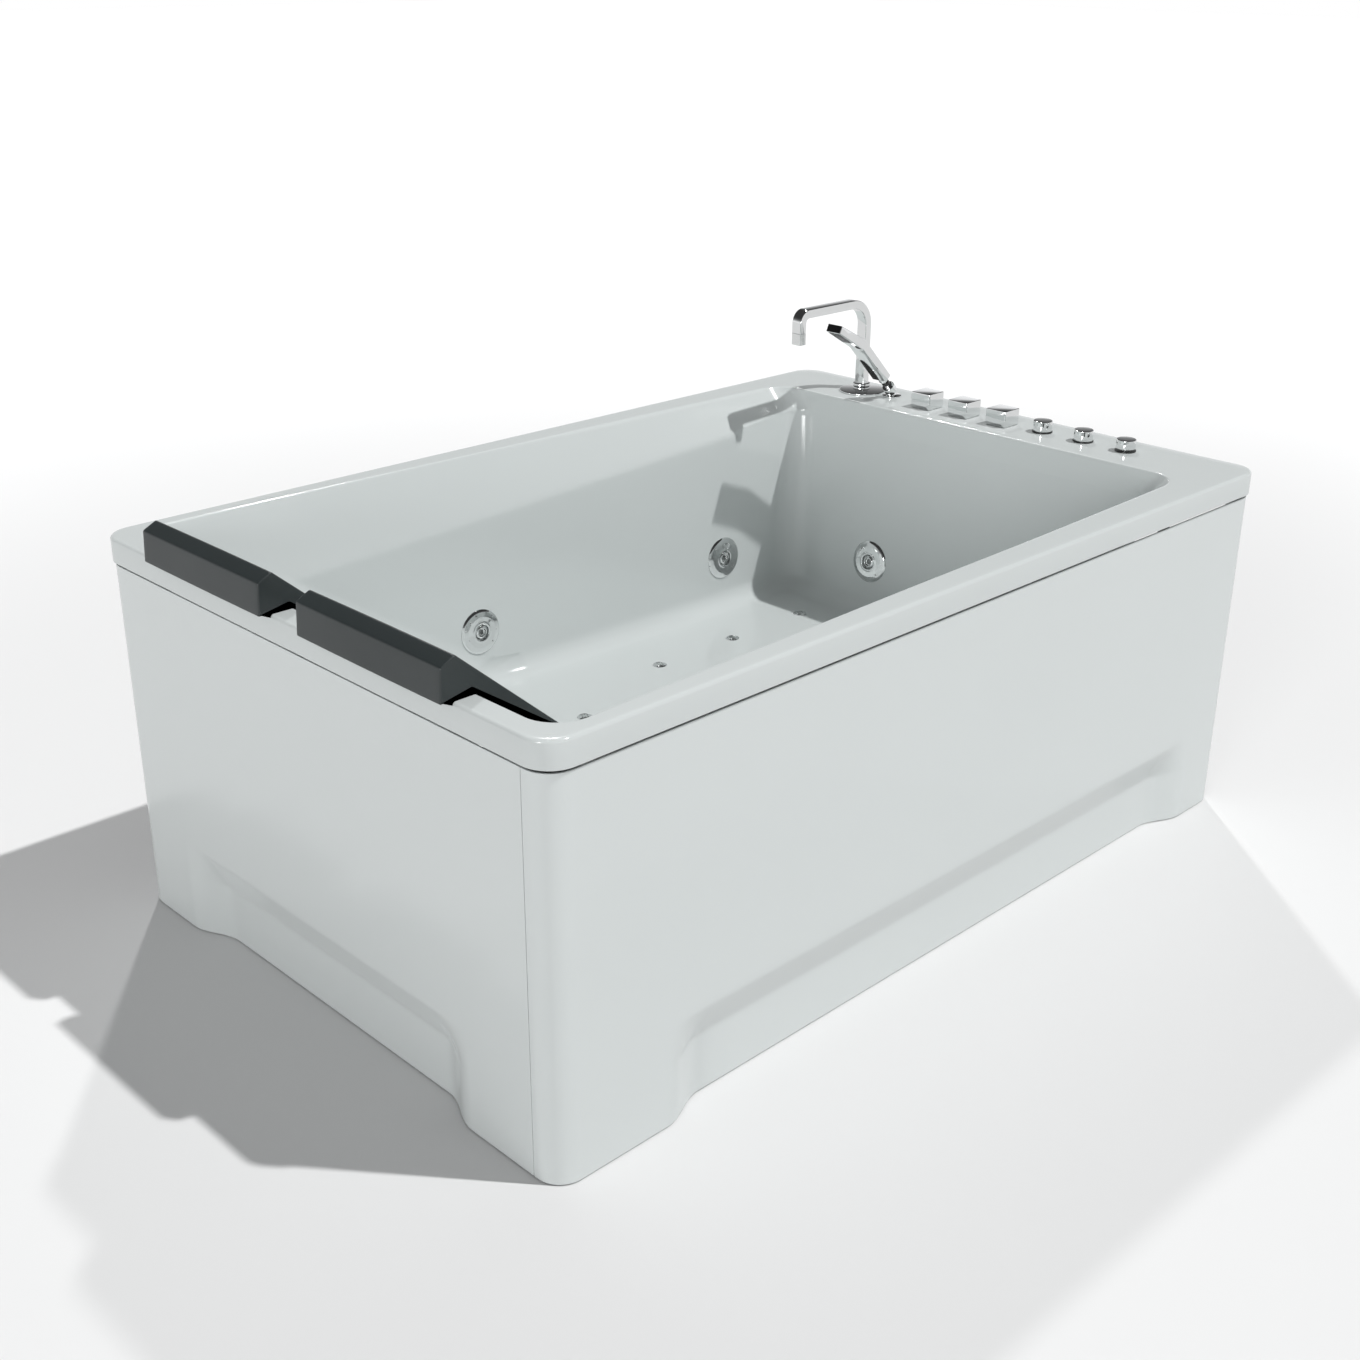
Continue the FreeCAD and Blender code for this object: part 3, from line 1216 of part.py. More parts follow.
blower_x = head_edge + blower_inset
manifold_end = air_jet_start + air_jet_spacing * 2 + manifold_pipe
manifold = [
    prism("manifold_far", blower_x + blower_radius - 3, air_jet_side, manifold_z, manifold_pipe,
          manifold_end - blower_x - blower_radius + 3, 12, "X"),
    prism("manifold_near", air_jet_head, -air_jet_side, manifold_z, manifold_pipe, manifold_end - air_jet_head,
          12, "X"),
    prism("manifold_cross", air_jet_head, -air_jet_side - manifold_pipe, manifold_z, manifold_pipe,
          (air_jet_side + manifold_pipe) * 2, 12, "Y")]
blower_body = prism("blower_body", blower_x, air_jet_side, rail_top + plate_thickness, blower_radius,
                    blower_height, 24)
node("blower", blower_body)
node("floor_air_manifold", cut("floor_air_manifold", fuse("manifold_pipes", *manifold), blower_body))


# ---------------------------------------------------------------- pump, its plate, suction, control box

plate_z = rail_top
axis_z = plate_z + plate_thickness + pump_axis
node("pump_plate", box("pump_plate", frame_head - tube / 2, -plate_half, plate_z, pump_bay + tube,
                       plate_half * 2, plate_thickness))
wet_end = prism("wet_end", pump_x, pump_wet_start, axis_z, pump_wet_radius, pump_wet_length, 24, "Y")
wet_leg = box("wet_end_leg", pump_x - pump_leg / 2, pump_wet_start + 10, plate_z + plate_thickness, pump_leg,
              pump_wet_length - 20, pump_axis)
node("pump_wet_end", fuse("pump_wet_end", wet_end, wet_leg))
motor = prism("motor_barrel", pump_x, pump_wet_start + pump_wet_length, axis_z, motor_radius, motor_length, 24,
              "Y")
motor_leg = box("motor_leg", pump_x - pump_leg / 2, pump_wet_start + pump_wet_length + motor_length / 2,
                plate_z + plate_thickness, pump_leg, motor_length / 3, pump_axis)
terminal_box = box("motor_terminal_box", pump_x - 25, pump_wet_start + pump_wet_length + 40,
                   axis_z + motor_radius - 5, 50, 70, 30)
node("pump_motor", fuse("pump_motor", motor, motor_leg, terminal_box))
node("water_ring", cut("water_ring", water_ring, wet_end))

suction_line_y = suction_spot.y - suction_clear - suction_pipe
cover_seat = seat_on_wall(suction_spot, suction_normal)
cover_dome = stacked("suction_dome_solid", [
    (suction_radius, -running_gap), (suction_radius, -suction_dome * 0.35), (suction_flat, -suction_dome)], 24)
cover_hollow = prism("suction_hollow", 0, 0, -suction_dome + 3, suction_flat - 2, suction_dome, 16)
slots = []
for number in range(-2, 3):
    slots.append(box("suction_slot_" + str(number + 2), slot_spacing * number - slot_width / 2,
                     -slot_length / 2, -suction_dome - 1, slot_width, slot_length, 6))
cover = cut("suction_cover", cover_dome, cover_hollow, *slots)
cover.Placement = cover_seat
node("suction_cover", cover)

suction_fitting = prism("suction_fitting", 0, 0, running_gap, suction_tube, suction_tube_length, 12)
seated(suction_fitting, cover_seat)
suction_parts = [
    suction_fitting,
    prism("suction_drop", suction_x, suction_line_y, axis_z - suction_pipe, suction_pipe,
          suction_height - axis_z + suction_pipe + suction_tube * 0.75, 12),
    prism("suction_run", pump_x - suction_pipe, suction_line_y, axis_z, suction_pipe - 1,
          suction_x - pump_x + suction_pipe, 12, "X"),
    prism("suction_port", pump_x, suction_line_y - suction_pipe * 0.9, axis_z, suction_pipe,
          pump_wet_start - suction_line_y + suction_pipe * 0.9, 12, "Y")]
node("suction_line", fuse("suction_line", *suction_parts))

node("control_box", box("control_box", frame_head, control_start, plate_z + plate_thickness, control_depth,
                        control_length, control_height))


# ---------------------------------------------------------------- drain, overflow and waste

drain_low = floor_height - drain_length
flange = prism("drain_flange_disc", drain_x, 0, floor_height, drain_flange_radius, drain_flange_height, 24)
drain_body = prism("drain_body", drain_x, 0, drain_low, drain_tube, drain_length + 1, 16)
drain_way = prism("drain_way", drain_x, 0, drain_low - 1, drain_tube - jet_tube_wall, drain_length + 5, 16)
guide = box("drain_guide", drain_x - drain_tube + 2, -4, floor_height - guide_drop, drain_tube * 2 - 4, 8, 6)
guide_hub = prism("drain_guide_hub", drain_x, 0, floor_height - guide_drop, stud_radius + 3, 6, 8)
guide_bore = cylinder("drain_guide_bore", drain_x, 0, floor_height - guide_drop - 1, plug_stem + bearing_gap, 8)
drain_shell = cut("drain_shell", fuse("drain_blank", flange, drain_body), drain_way)
node("drain_flange", cut("drain_flange", fuse("drain_with_guide", drain_shell, guide, guide_hub), guide_bore))
plug_low = floor_height + drain_flange_height
plug_disc = stacked("plug_disc", [
    (plug_radius, plug_low + running_gap), (plug_radius, plug_low + 3), (plug_radius * 0.6, plug_low + 6)], 24)
plug_rod = prism("plug_rod", 0, 0, plug_low - guide_drop - plug_reach, plug_stem, guide_drop + plug_reach + 1, 8)
plug = fuse("drain_plug", plug_disc, plug_rod)
plug.Placement = FreeCAD.Placement(vector(drain_x, 0, 0), FreeCAD.Rotation())
node("drain_plug", plug)

overflow_seat = seat_on_wall(overflow_spot, overflow_normal)
overflow_disc = prism("overflow_disc", 0, 0, -overflow_plate_height - running_gap, overflow_radius,
                      overflow_plate_height, 24)
overflow_sleeve = prism("overflow_sleeve", 0, 0, -running_gap - 1, overflow_tube, overflow_tube_length, 12)
overflow_way = prism("overflow_way", 0, 0, -overflow_plate_height - 1, overflow_tube - 4,
                     overflow_tube_length + overflow_plate_height + 2, 16)
plate = cut("overflow_plate", fuse("overflow_plate_blank", overflow_disc, overflow_sleeve), overflow_way)
plate.Placement = overflow_seat
node("overflow_plate", plate)
knob_disc = prism("overflow_knob_disc", 0, 0, -overflow_plate_height - overflow_knob_height - running_gap * 2,
                  overflow_knob_radius, overflow_knob_height, 24)
knob_shaft = prism("overflow_knob_shaft", 0, 0, -overflow_plate_height - running_gap * 3,
                   overflow_tube - 5 - running_gap, overflow_tube_length - 10, 12)
knob = fuse("overflow_knob", knob_disc, knob_shaft)
knob.Placement = overflow_seat
node("overflow_knob", knob)

overflow_line_y = -ring_side - ring_pipe - overflow_clear - overflow_pipe
waste_z = drain_low - trap_drop
link_z = drain_low - link_drop
box_elbow = box("overflow_elbow", drain_x - waste_elbow, overflow_line_y - waste_elbow,
                overflow_height - waste_elbow * 1.6, waste_elbow * 2, waste_elbow * 2, waste_elbow * 3)
waste_parts = [
    box_elbow,
    prism("overflow_drop", drain_x, overflow_line_y, link_z - overflow_pipe, overflow_pipe,
          overflow_height - link_z, 12),
    prism("overflow_run", drain_x, overflow_line_y, link_z, overflow_pipe - 1, -overflow_line_y, 12, "Y"),
    prism("waste_drop", drain_x, 0, waste_z - waste_pipe, drain_tube, drain_low - waste_z + waste_pipe, 16),
    prism("waste_outlet", drain_x, 0, waste_z, waste_pipe, half_width - waste_short, 16, "Y"),
    cylinder("waste_spigot", drain_x, half_width - waste_short - spigot_run, waste_z, waste_spigot, spigot_run,
             "Y")]
overflow_block = prism("overflow_block", 0, 0, 0, overflow_tube, overflow_tube_length, 12)
seated(overflow_block, overflow_seat)
node("waste_pipe", cut("waste_pipe", fuse("waste_pipes", *waste_parts), overflow_block))


# ---------------------------------------------------------------- checks, and one file for each sub-part

doc.recompute()
for item in doc.Objects:
    if "Invalid" in item.State or "Error" in item.State:
        raise RuntimeError(item.Name + " did not build: " + ", ".join(item.State))
os.makedirs("parts", exist_ok=True)
for name, thing in nodes:
    shape = thing.Shape
    if shape.isNull() or not shape.isValid() or shape.Volume <= 0:
        raise RuntimeError(name + " has no sound solid")
    shape.exportStep("parts/" + name + ".step")
    print(name, len(shape.Solids), round(shape.Volume / 1000, 1), "cm3")
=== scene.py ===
import math
import bpy
import bmesh
import numpy as np
from mathutils import Matrix, Vector
from numpy.linalg import norm


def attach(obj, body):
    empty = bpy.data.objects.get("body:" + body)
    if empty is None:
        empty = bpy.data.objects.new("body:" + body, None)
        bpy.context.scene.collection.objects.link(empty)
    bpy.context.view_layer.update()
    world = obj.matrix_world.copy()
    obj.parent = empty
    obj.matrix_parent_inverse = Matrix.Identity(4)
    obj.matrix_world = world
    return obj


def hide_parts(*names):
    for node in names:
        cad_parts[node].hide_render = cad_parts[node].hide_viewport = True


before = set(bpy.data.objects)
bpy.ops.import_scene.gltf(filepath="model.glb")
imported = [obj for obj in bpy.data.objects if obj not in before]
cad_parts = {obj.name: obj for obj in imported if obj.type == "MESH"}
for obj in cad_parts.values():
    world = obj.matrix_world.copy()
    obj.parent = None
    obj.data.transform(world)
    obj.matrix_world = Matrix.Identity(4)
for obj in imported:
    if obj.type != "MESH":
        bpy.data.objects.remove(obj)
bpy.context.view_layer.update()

quarter = math.pi / 2
mergeGap = 2e-5
cornerLimit, bendLimit = 0.45, 0.49


# meshes worked out as arrays: a part is its points and its faces

def gridFaces(rows, columns, closedRows=False, closedColumns=True, caps=True):
    # quads between neighbouring rows and columns, with a flat face on the first and last row
    v = np.arange(rows if closedRows else rows - 1)
    u = np.arange(columns if closedColumns else columns - 1)
    vv, uu = np.meshgrid(v, u, indexing="ij")
    v2, u2 = (vv + 1) % rows, (uu + 1) % columns
    quads = np.stack([vv * columns + uu, vv * columns + u2, v2 * columns + u2, v2 * columns + uu], -1)
    faces = quads.reshape(-1, 4).tolist()
    if caps and not closedRows:
        faces.append(list(range(columns))[::-1])
        faces.append(list(range((rows - 1) * columns, rows * columns)))
    return faces


def facedOut(points, faces):
    # turns a closed mesh the right way round, by the sign of its volume
    volume = 0.0
    for face in faces:
        first = points[face[0]]
        corners = points[face[1:]] - first
        volume += np.sum(np.cross(corners[:-1], corners[1:]) @ first)
    return (points, faces) if volume > 0 else (points, [face[::-1] for face in faces])


def gridSolid(grid, closedRows=False):
    # a closed solid from an array of rings, rows by columns by 3
    rows, columns = grid.shape[:2]
    return facedOut(grid.reshape(-1, 3), gridFaces(rows, columns, closedRows))


def revolved(profile, segments=48, closed=False):
    # each point (radius, height) turned round Z; a closed profile makes a ring with no caps
    profile = np.array(profile, float)
    angle = np.linspace(0, 2 * math.pi, segments, endpoint=False)
    ring = np.stack([np.cos(angle), np.sin(angle)], -1)
    grid = np.concatenate([profile[:, None, :1] * ring[None], np.repeat(profile[:, None, 1:], segments, 1)], -1)
    return gridSolid(grid, closed)


def unit(vector):
    return np.array(vector, float) / norm(vector)


def quarterEdge(edge, steps):
    # how far an eased edge is drawn in, and how far up it has come, at each step of its quarter circle
    return [(edge * (1 - math.sin(a)), edge * (1 - math.cos(a))) for a in np.linspace(0, quarter, steps)]


def cornerCurve(before, corner, after, radius, steps):
    # the short quadratic curve of about a radius that eases one corner
    back, ahead = before - corner, after - corner
    reach = min(radius, norm(back) * cornerLimit, norm(ahead) * cornerLimit)
    start, end = corner + unit(back) * reach, corner + unit(ahead) * reach
    share = np.linspace(0, 1, steps)[:, None]
    return (1 - share) ** 2 * start + 2 * share * (1 - share) * corner + share ** 2 * end


def roundedProfile(profile, radius):
    points = np.array(profile, float)
    curves = [cornerCurve(*points[n:n + 3], radius, 5) for n in range(len(points) - 2)]
    return np.vstack([points[:1], *curves, points[-1:]])


def loopCurves(corners, rounds, steps=6):
    # the curve at each corner of a closed side view
    corners = np.array(corners, float)
    count = len(corners)
    return [cornerCurve(corners[n - 1], corners[n], corners[(n + 1) % count], radius, steps)
        for n, radius in enumerate(rounds)]


def roundedRectangle(halfLong, halfWide, radius, perCorner=8):
    # four quarter arcs joined by straight lines, anticlockwise
    rings = []
    for turn, (sx, sy) in enumerate(((1, 1), (-1, 1), (-1, -1), (1, -1))):
        angle = np.linspace(0, quarter, perCorner) + turn * quarter
        rings.append(np.stack([sx * (halfLong - radius) + radius * np.cos(angle),
            sy * (halfWide - radius) + radius * np.sin(angle)], -1))
    return np.concatenate(rings)


def stackedOutline(halfLong, halfWide, radius, levels, perCorner=8):
    # rounded rectangles drawn in by each level's inset and set at its height
    rings = []
    for inset, height in levels:
        ring = roundedRectangle(halfLong - inset, halfWide - inset, max(radius - inset * 0.6, 0.0004), perCorner)
        rings.append(np.column_stack([ring, np.full(len(ring), height)]))
    return gridSolid(np.array(rings))


def moved(part, offset):
    points, faces = part
    return points + np.array(offset, float), faces


def softBlock(low, high, radius, edge, turnSteps=5, perCorner=8):
    # a block between two corners, with upright edges of one radius and its other edges of another
    low, high = np.array(low, float), np.array(high, float)
    half = (high - low) / 2
    turn = quarterEdge(edge, turnSteps)
    levels = [(inset, rise - half[2]) for inset, rise in turn] + [(inset, half[2] - rise) for inset, rise in turn[::-1]]
    return moved(stackedOutline(half[0], half[1], radius, levels, perCorner), (low + high) / 2)


def turned(profile, ease, segments, spot=(0, 0, 0), closed=False):
    return moved(revolved(roundedProfile(profile, ease), segments, closed), spot)


def puck(size, ease, segments, spot, inner=0.002):
    # a flat round piece of a radius and a height, standing on a spot
    radius, high = size
    return turned([(inner, 0), (radius, 0), (radius, high), (inner, high)], ease, segments, spot)


def seated(part, spot, normal):
    # puts a part drawn round Z at a spot, its +Z along the normal
    points, faces = part
    w = unit(normal)
    side = unit(np.cross((0, 0, 1), w))
    return points @ np.array([side, np.cross(w, side), w]) + np.array(spot, float), faces


def squareBends(corners, radius, perBend):
    # straight runs that meet at right angles, joined by quarter circles
    corners = np.array(corners, float)
    out = [corners[:1]]
    angle = np.linspace(0, quarter, perBend)[:, None]
    for before, corner, after in zip(corners[:-2], corners[1:-1], corners[2:]):
        back, ahead = before - corner, after - corner
        reach = min(radius, norm(back) * bendLimit, norm(ahead) * bendLimit)
        back, ahead = unit(back) * reach, unit(ahead) * reach
        out.append(corner + back + ahead - ahead * np.cos(angle) - back * np.sin(angle))
    return np.vstack(out + [corners[-1:]])


def swept(path, section, across):
    # a section (across, up) carried along a path
    tangent = np.gradient(path, axis=0)
    tangent /= norm(tangent, axis=1)[:, None]
    up = np.cross(tangent, across)
    return gridSolid(path[:, None] + section[None, :, :1] * np.array(across) + section[None, :, 1:] * up[:, None])


def carriedAcross(outline, half, middle, edge, turnSteps=4, between=(), draw=1.0, crown=0.0):
    # a side view (x, z) carried along Y, drawn in on a quarter circle at both ends
    tangent = np.roll(outline, -1, 0) - np.roll(outline, 1, 0)
    inward = np.stack([-tangent[:, 1], tangent[:, 0]], -1)
    inward /= norm(inward, axis=1)[:, None]
    if np.sum(outline[:, 0] * np.roll(outline[:, 1], -1) - np.roll(outline[:, 0], -1) * outline[:, 1]) < 0:
        inward = -inward
    start = [(rise - half, inset) for inset, rise in quarterEdge(edge, turnSteps)]
    rings = []
    for y, inset in start + [(y, 0.0) for y in between] + [(-y, inset) for y, inset in start[::-1]]:
        drawn = outline + inward * (inset * draw + crown * (y / half) ** 2)
        rings.append(np.column_stack([drawn[:, 0], np.full(len(drawn), middle + y), drawn[:, 1]]))
    return gridSolid(np.array(rings))


def joined(parts):
    points, faces, start = [], [], 0
    for partPoints, partFaces in parts:
        points.append(partPoints)
        faces += [[index + start for index in face] for face in partFaces]
        start += len(partPoints)
    return np.concatenate(points), faces


def newMesh(name, points, faces):
    mesh = bpy.data.meshes.new(name)
    mesh.from_pydata(np.asarray(points).tolist(), [], faces)
    return mesh


def newObject(name, data):
    thing = bpy.data.objects.new(name, data)
    bpy.context.scene.collection.objects.link(thing)
    return thing


def newModifier(piece, name, kind, **settings):
    modifier = piece.modifiers.new(name, kind)
    for label, value in settings.items():
        setattr(modifier, label, value)


def easeEdges(piece, width, angle):
    newModifier(piece, "edge", "BEVEL", width=width, segments=2, limit_method="ANGLE",
        angle_limit=math.radians(angle), harden_normals=True)


def finishPiece(name, mesh, material, body, replaces=None, sharp=38):
    mesh.shade_smooth()
    mesh.set_sharp_from_angle(angle=math.radians(sharp))
    mesh.materials.clear()
    mesh.materials.append(finishes[material])
    piece = newObject(name, mesh)
    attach(piece, body)
    if replaces:
        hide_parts(replaces)
    return piece


def makePiece(name, parts, material, body, replaces=None, sharp=38):
    # one object from closed parts, its place in its mesh, riding on its body
    mesh = newMesh(name, *joined(parts))
    return finishPiece(name, mesh, material, body, replaces, sharp)


def edited(mesh, edit):
    work = bmesh.new()
    work.from_mesh(mesh)
    edit(work)
    work.to_mesh(mesh)
    work.free()


def dressedCopy(node, material, edge=0.0, sharp=30):
    # a rigid node's own shape with its loose triangles merged, flat faces joined and edges eased
    def merge(work):
        bmesh.ops.remove_doubles(work, verts=work.verts, dist=mergeGap)
        bmesh.ops.dissolve_limit(work, angle_limit=math.radians(1.0), verts=work.verts, edges=work.edges)

    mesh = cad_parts[node].data.copy()
    edited(mesh, merge)
    piece = finishPiece(node + "Dressed", mesh, material, "tub", node, sharp)
    if edge:
        easeEdges(piece, edge, sharp)


# materials

def wire(tree, node, inputs):
    # an input's value is a socket to link or a plain value
    for label, value in inputs.items():
        if isinstance(value, bpy.types.NodeSocket):
            tree.links.new(value, node.inputs[label])
        else:
            node.inputs[label].default_value = value


def put(tree, kind, inputs={}, **settings):
    # the outputs of a new node
    node = tree.nodes.new("ShaderNode" + kind)
    for label, value in settings.items():
        setattr(node, label, value)
    wire(tree, node, inputs)
    return node.outputs


def place(tree):
    return put(tree, "TexCoord")["Object"]


def mixed(tree, share, first, second):
    return put(tree, "Mix", {0: share, 6: first, 7: second}, data_type="RGBA")[2]


def lifted(tree, height, strength, distance, under=None):
    inputs = {"Height": height, "Strength": strength, "Distance": distance}
    return put(tree, "Bump", inputs | ({"Normal": under} if under else {}))["Normal"]


def nodeGroup(name, inputs, outputs):
    tree = bpy.data.node_groups.new(name, "ShaderNodeTree")
    for label, value in inputs.items():
        kind = "NodeSocketColor" if isinstance(value, tuple) else "NodeSocketFloat"
        tree.interface.new_socket(label, in_out="INPUT", socket_type=kind).default_value = value
    for label in outputs:
        kind = "NodeSocketColor" if label == "Color" else "NodeSocketFloat"
        tree.interface.new_socket(label, in_out="OUTPUT", socket_type=kind)
    return tree, tree.nodes.new("NodeGroupInput").outputs, tree.nodes.new("NodeGroupOutput")


def cloudGroup():
    # slow clouds of a slightly darker tint, and roughness that follows them
    tree, given, out = nodeGroup("cloudTint", {
        "Tint": (0.8, 0.8, 0.8, 1), "Shade": (0.7, 0.7, 0.7, 1), "Scale": 3.0, "Smooth": 0.1, "Rough": 0.2,
    }, ("Color", "Roughness"))
    noise = put(tree, "TexNoise", {"Detail": 4, "Vector": place(tree), "Scale": given["Scale"]})["Fac"]
    spread = put(tree, "MapRange", {"Value": noise, "To Min": given["Smooth"], "To Max": given["Rough"]})
    wire(tree, out, {"Color": mixed(tree, noise, given["Tint"], given["Shade"]), "Roughness": spread["Result"]})
    return tree


def rippleGroup():
    # the height of a fine ripple with a broad waviness under it
    tree, given, out = nodeGroup("fineRipple", {"Fine": 400.0, "Broad": 8.0, "Share": 0.5}, ("Height",))
    spot = place(tree)
    fine = put(tree, "TexNoise", {"Detail": 3, "Vector": spot, "Scale": given["Fine"]})["Fac"]
    broad = put(tree, "TexNoise", {"Vector": spot, "Scale": given["Broad"]})["Fac"]
    wire(tree, out, {"Height": put(tree, "Mix", {0: given["Share"], 2: broad, 3: fine})[0]})
    return tree


def grainGroup():
    # the pebbles of moulded skin: round cells with valleys between them
    tree, given, out = nodeGroup("pebbleGrain", {"Scale": 700.0}, ("Height",))
    cells = put(tree, "TexVoronoi", {"Vector": place(tree), "Scale": given["Scale"]}, feature="DISTANCE_TO_EDGE")
    lift = put(tree, "MapRange", {"From Max": 0.25, "Value": cells["Distance"]}, interpolation_type="SMOOTHSTEP")
    wire(tree, out, {"Height": lift["Result"]})
    return tree


def woodGroup():
    # long bands of light and dark fibre along X
    tree, given, out = nodeGroup("woodFibre", {"Light": (0.5, 0.36, 0.2, 1), "Dark": (0.3, 0.2, 0.1, 1)},
        ("Color", "Height"))
    squash = put(tree, "VectorMath", {0: place(tree), 1: (2, 40, 60)}, operation="MULTIPLY")[0]
    fibre = put(tree, "TexNoise", {"Scale": 1.6, "Detail": 8, "Distortion": 0.6, "Vector": squash})["Fac"]
    wire(tree, out, {"Color": mixed(tree, fibre, given["Light"], given["Dark"]), "Height": fibre})
    return tree


effects = {"cloud": cloudGroup(), "ripple": rippleGroup(), "grain": grainGroup(), "wood": woodGroup()}


def effect(tree, name, **values):
    return put(tree, "Group", values, node_tree=effects[name])


def newMaterial(name):
    material = bpy.data.materials.new(name)
    material.use_nodes = True
    return material, material.node_tree, material.node_tree.nodes["Principled BSDF"]


def finish(name, tint, shade, smooth, rough, metallic, cloudScale, fine, broad, share, bump, grain=None):
    # a surface with clouded colour and roughness and a fine rippled bump, with or without pebbles
    material, tree, shader = newMaterial(name)
    cloud = effect(tree, "cloud", Tint=(*tint, 1), Shade=(*shade, 1), Scale=cloudScale, Smooth=smooth, Rough=rough)
    ripple = effect(tree, "ripple", Fine=fine, Broad=broad, Share=share)
    normal = lifted(tree, ripple["Height"], bump, 0.001)
    if grain:
        scale, strength, distance = grain
        normal = lifted(tree, effect(tree, "grain", Scale=scale)["Height"], strength, distance, normal)
    wire(tree, shader, {"Metallic": metallic, "IOR": 1.5, "Base Color": cloud["Color"],
        "Roughness": cloud["Roughness"], "Normal": normal})
    return material


def woodBoard():
    material, tree, shader = newMaterial("woodBoard")
    wood = effect(tree, "wood", Light=(0.52, 0.38, 0.22, 1), Dark=(0.30, 0.19, 0.10, 1))
    wire(tree, shader, {"Roughness": 0.7, "Base Color": wood["Color"],
        "Normal": lifted(tree, wood["Height"], 0.2, 0.0005)})
    return material


finishRows = {
    # name, tint, shade, smoothest, roughest, metal, cloud scale, fine scale, broad scale, share of fine, bump
    "shell": ("shellAcrylic", (0.66, 0.695, 0.69), (0.64, 0.675, 0.67), 0.10, 0.17, 0, 2.2, 60, 5, 0.12, 0.05),
    # the apron's tint and shade are a little lighter than the shell's only to stand in for the brighter light on its
    # upright faces: painted light on a copy of the same acrylic
    "apron": ("apronAcrylicPaintedLighter", (0.70, 0.735, 0.73), (0.68, 0.715, 0.71), 0.12, 0.19, 0, 2.0, 60, 4, 0.12, 0.06),
    "chrome": ("polishedChrome", (0.83, 0.84, 0.84), (0.79, 0.80, 0.80), 0.03, 0.07, 1, 30, 900, 60, 0.3, 0.01),
    "satinChrome": ("satinChrome", (0.80, 0.81, 0.80), (0.74, 0.75, 0.75), 0.16, 0.26, 1, 40, 1500, 60, 0.7, 0.03),
    "blackPlastic": ("blackPlastic", (0.012, 0.013, 0.013), (0.018, 0.019, 0.019), 0.25, 0.4, 0, 60, 1500, 8, 0.9,
    0.08),
    "blackGloss": ("blackGloss", (0.008, 0.008, 0.008), (0.012, 0.012, 0.012), 0.06, 0.12, 0, 60, 1500, 8, 0.9, 0.02),
    # the last three are the pebbles' scale, strength and depth
    "pillow": ("pillowSkin", (0.030, 0.038, 0.039), (0.022, 0.028, 0.029), 0.30, 0.42, 0, 9, 400, 8, 0.5, 0.02,
    (850, 0.12, 0.0004)),
    "frame": ("bareAluminium", (0.60, 0.61, 0.62), (0.50, 0.51, 0.52), 0.30, 0.48, 1, 14, 700, 30, 0.8, 0.12),
    "steel": ("footSteel", (0.45, 0.45, 0.46), (0.36, 0.36, 0.37), 0.28, 0.45, 1, 30, 1200, 8, 0.8, 0.1),
    "rubber": ("footRubber", (0.02, 0.02, 0.02), (0.03, 0.03, 0.03), 0.6, 0.8, 0, 40, 1500, 8, 0.9, 0.2),
    "brass": ("castBrass", (0.62, 0.47, 0.22), (0.48, 0.35, 0.16), 0.28, 0.48, 1, 40, 600, 80, 0.7, 0.25),
    "pipe": ("whitePipe", (0.74, 0.74, 0.71), (0.68, 0.68, 0.65), 0.28, 0.42, 0, 10, 500, 8, 0.7, 0.06),
    "housing": ("blackHousing", (0.022, 0.022, 0.024), (0.034, 0.034, 0.036), 0.38, 0.55, 0, 18, 1400, 8, 0.9, 0.25),
    "motor": ("motorPaint", (0.045, 0.055, 0.075), (0.06, 0.07, 0.09), 0.35, 0.5, 0, 16, 900, 8, 0.8, 0.2),
}
finishes = {key: finish(*row) for key, row in finishRows.items()}
finishes["board"] = woodBoard()
print("finishes made")


# the shell: rim, armrests, backrest, foot well and floor in one skin

shell = {
    "head": -0.9145, "foot": 0.9355, "halfWidth": 0.600, "top": 0.725, "lip": 0.045, "corner": 0.050,
    "edge": 0.006, "wall": 0.005,
    "basinHead": -0.8745, "basinFoot": 0.7605, "rimHalfHead": 0.568, "rimHalfFoot": 0.525,
    "floor": 0.262, "floorHead": -0.2795, "floorFoot": 0.7135, "floorHalfHead": 0.474, "floorHalfFoot": 0.444,
    "creaseFoot": 0.668, "creaseHead": 0.576, "creaseHeadX": -0.683, "creaseHalfFoot": 0.467, "creaseSoft": 0.0035,
    "floorCorner": (0.185, 0.140), "rimCorner": 0.060, "footCorner": 0.060, "floorRound": 0.045,
    "wellStart": 0.5585, "wellLow": 0.560, "wellHalf": 0.487, "wellLowHalf": 0.4605, "wellSoft": 0.014,
    "drain": (0.2105, 0.0226), "overflow": (0.2105, 0.590), "suction": (0.0005, 0.362),
    "probe": 0.012, "creaseBand": 0.012, "spine": (-0.20, 0.64),
}


def smoothStep(value):
    value = np.clip(value, 0, 1)
    return value * value * (3 - 2 * value)


def sloped(value, start, end, first, last):
    # the measure called first at start and last at end, on a straight line between and beyond them
    s = shell
    return s[first] + (s[last] - s[first]) * (value - s[start]) / (s[end] - s[start])


def creaseHeight(x):
    # the armrest's lower edge lies in a plane that falls towards the head
    return sloped(x, "basinFoot", "creaseHeadX", "creaseFoot", "creaseHead")


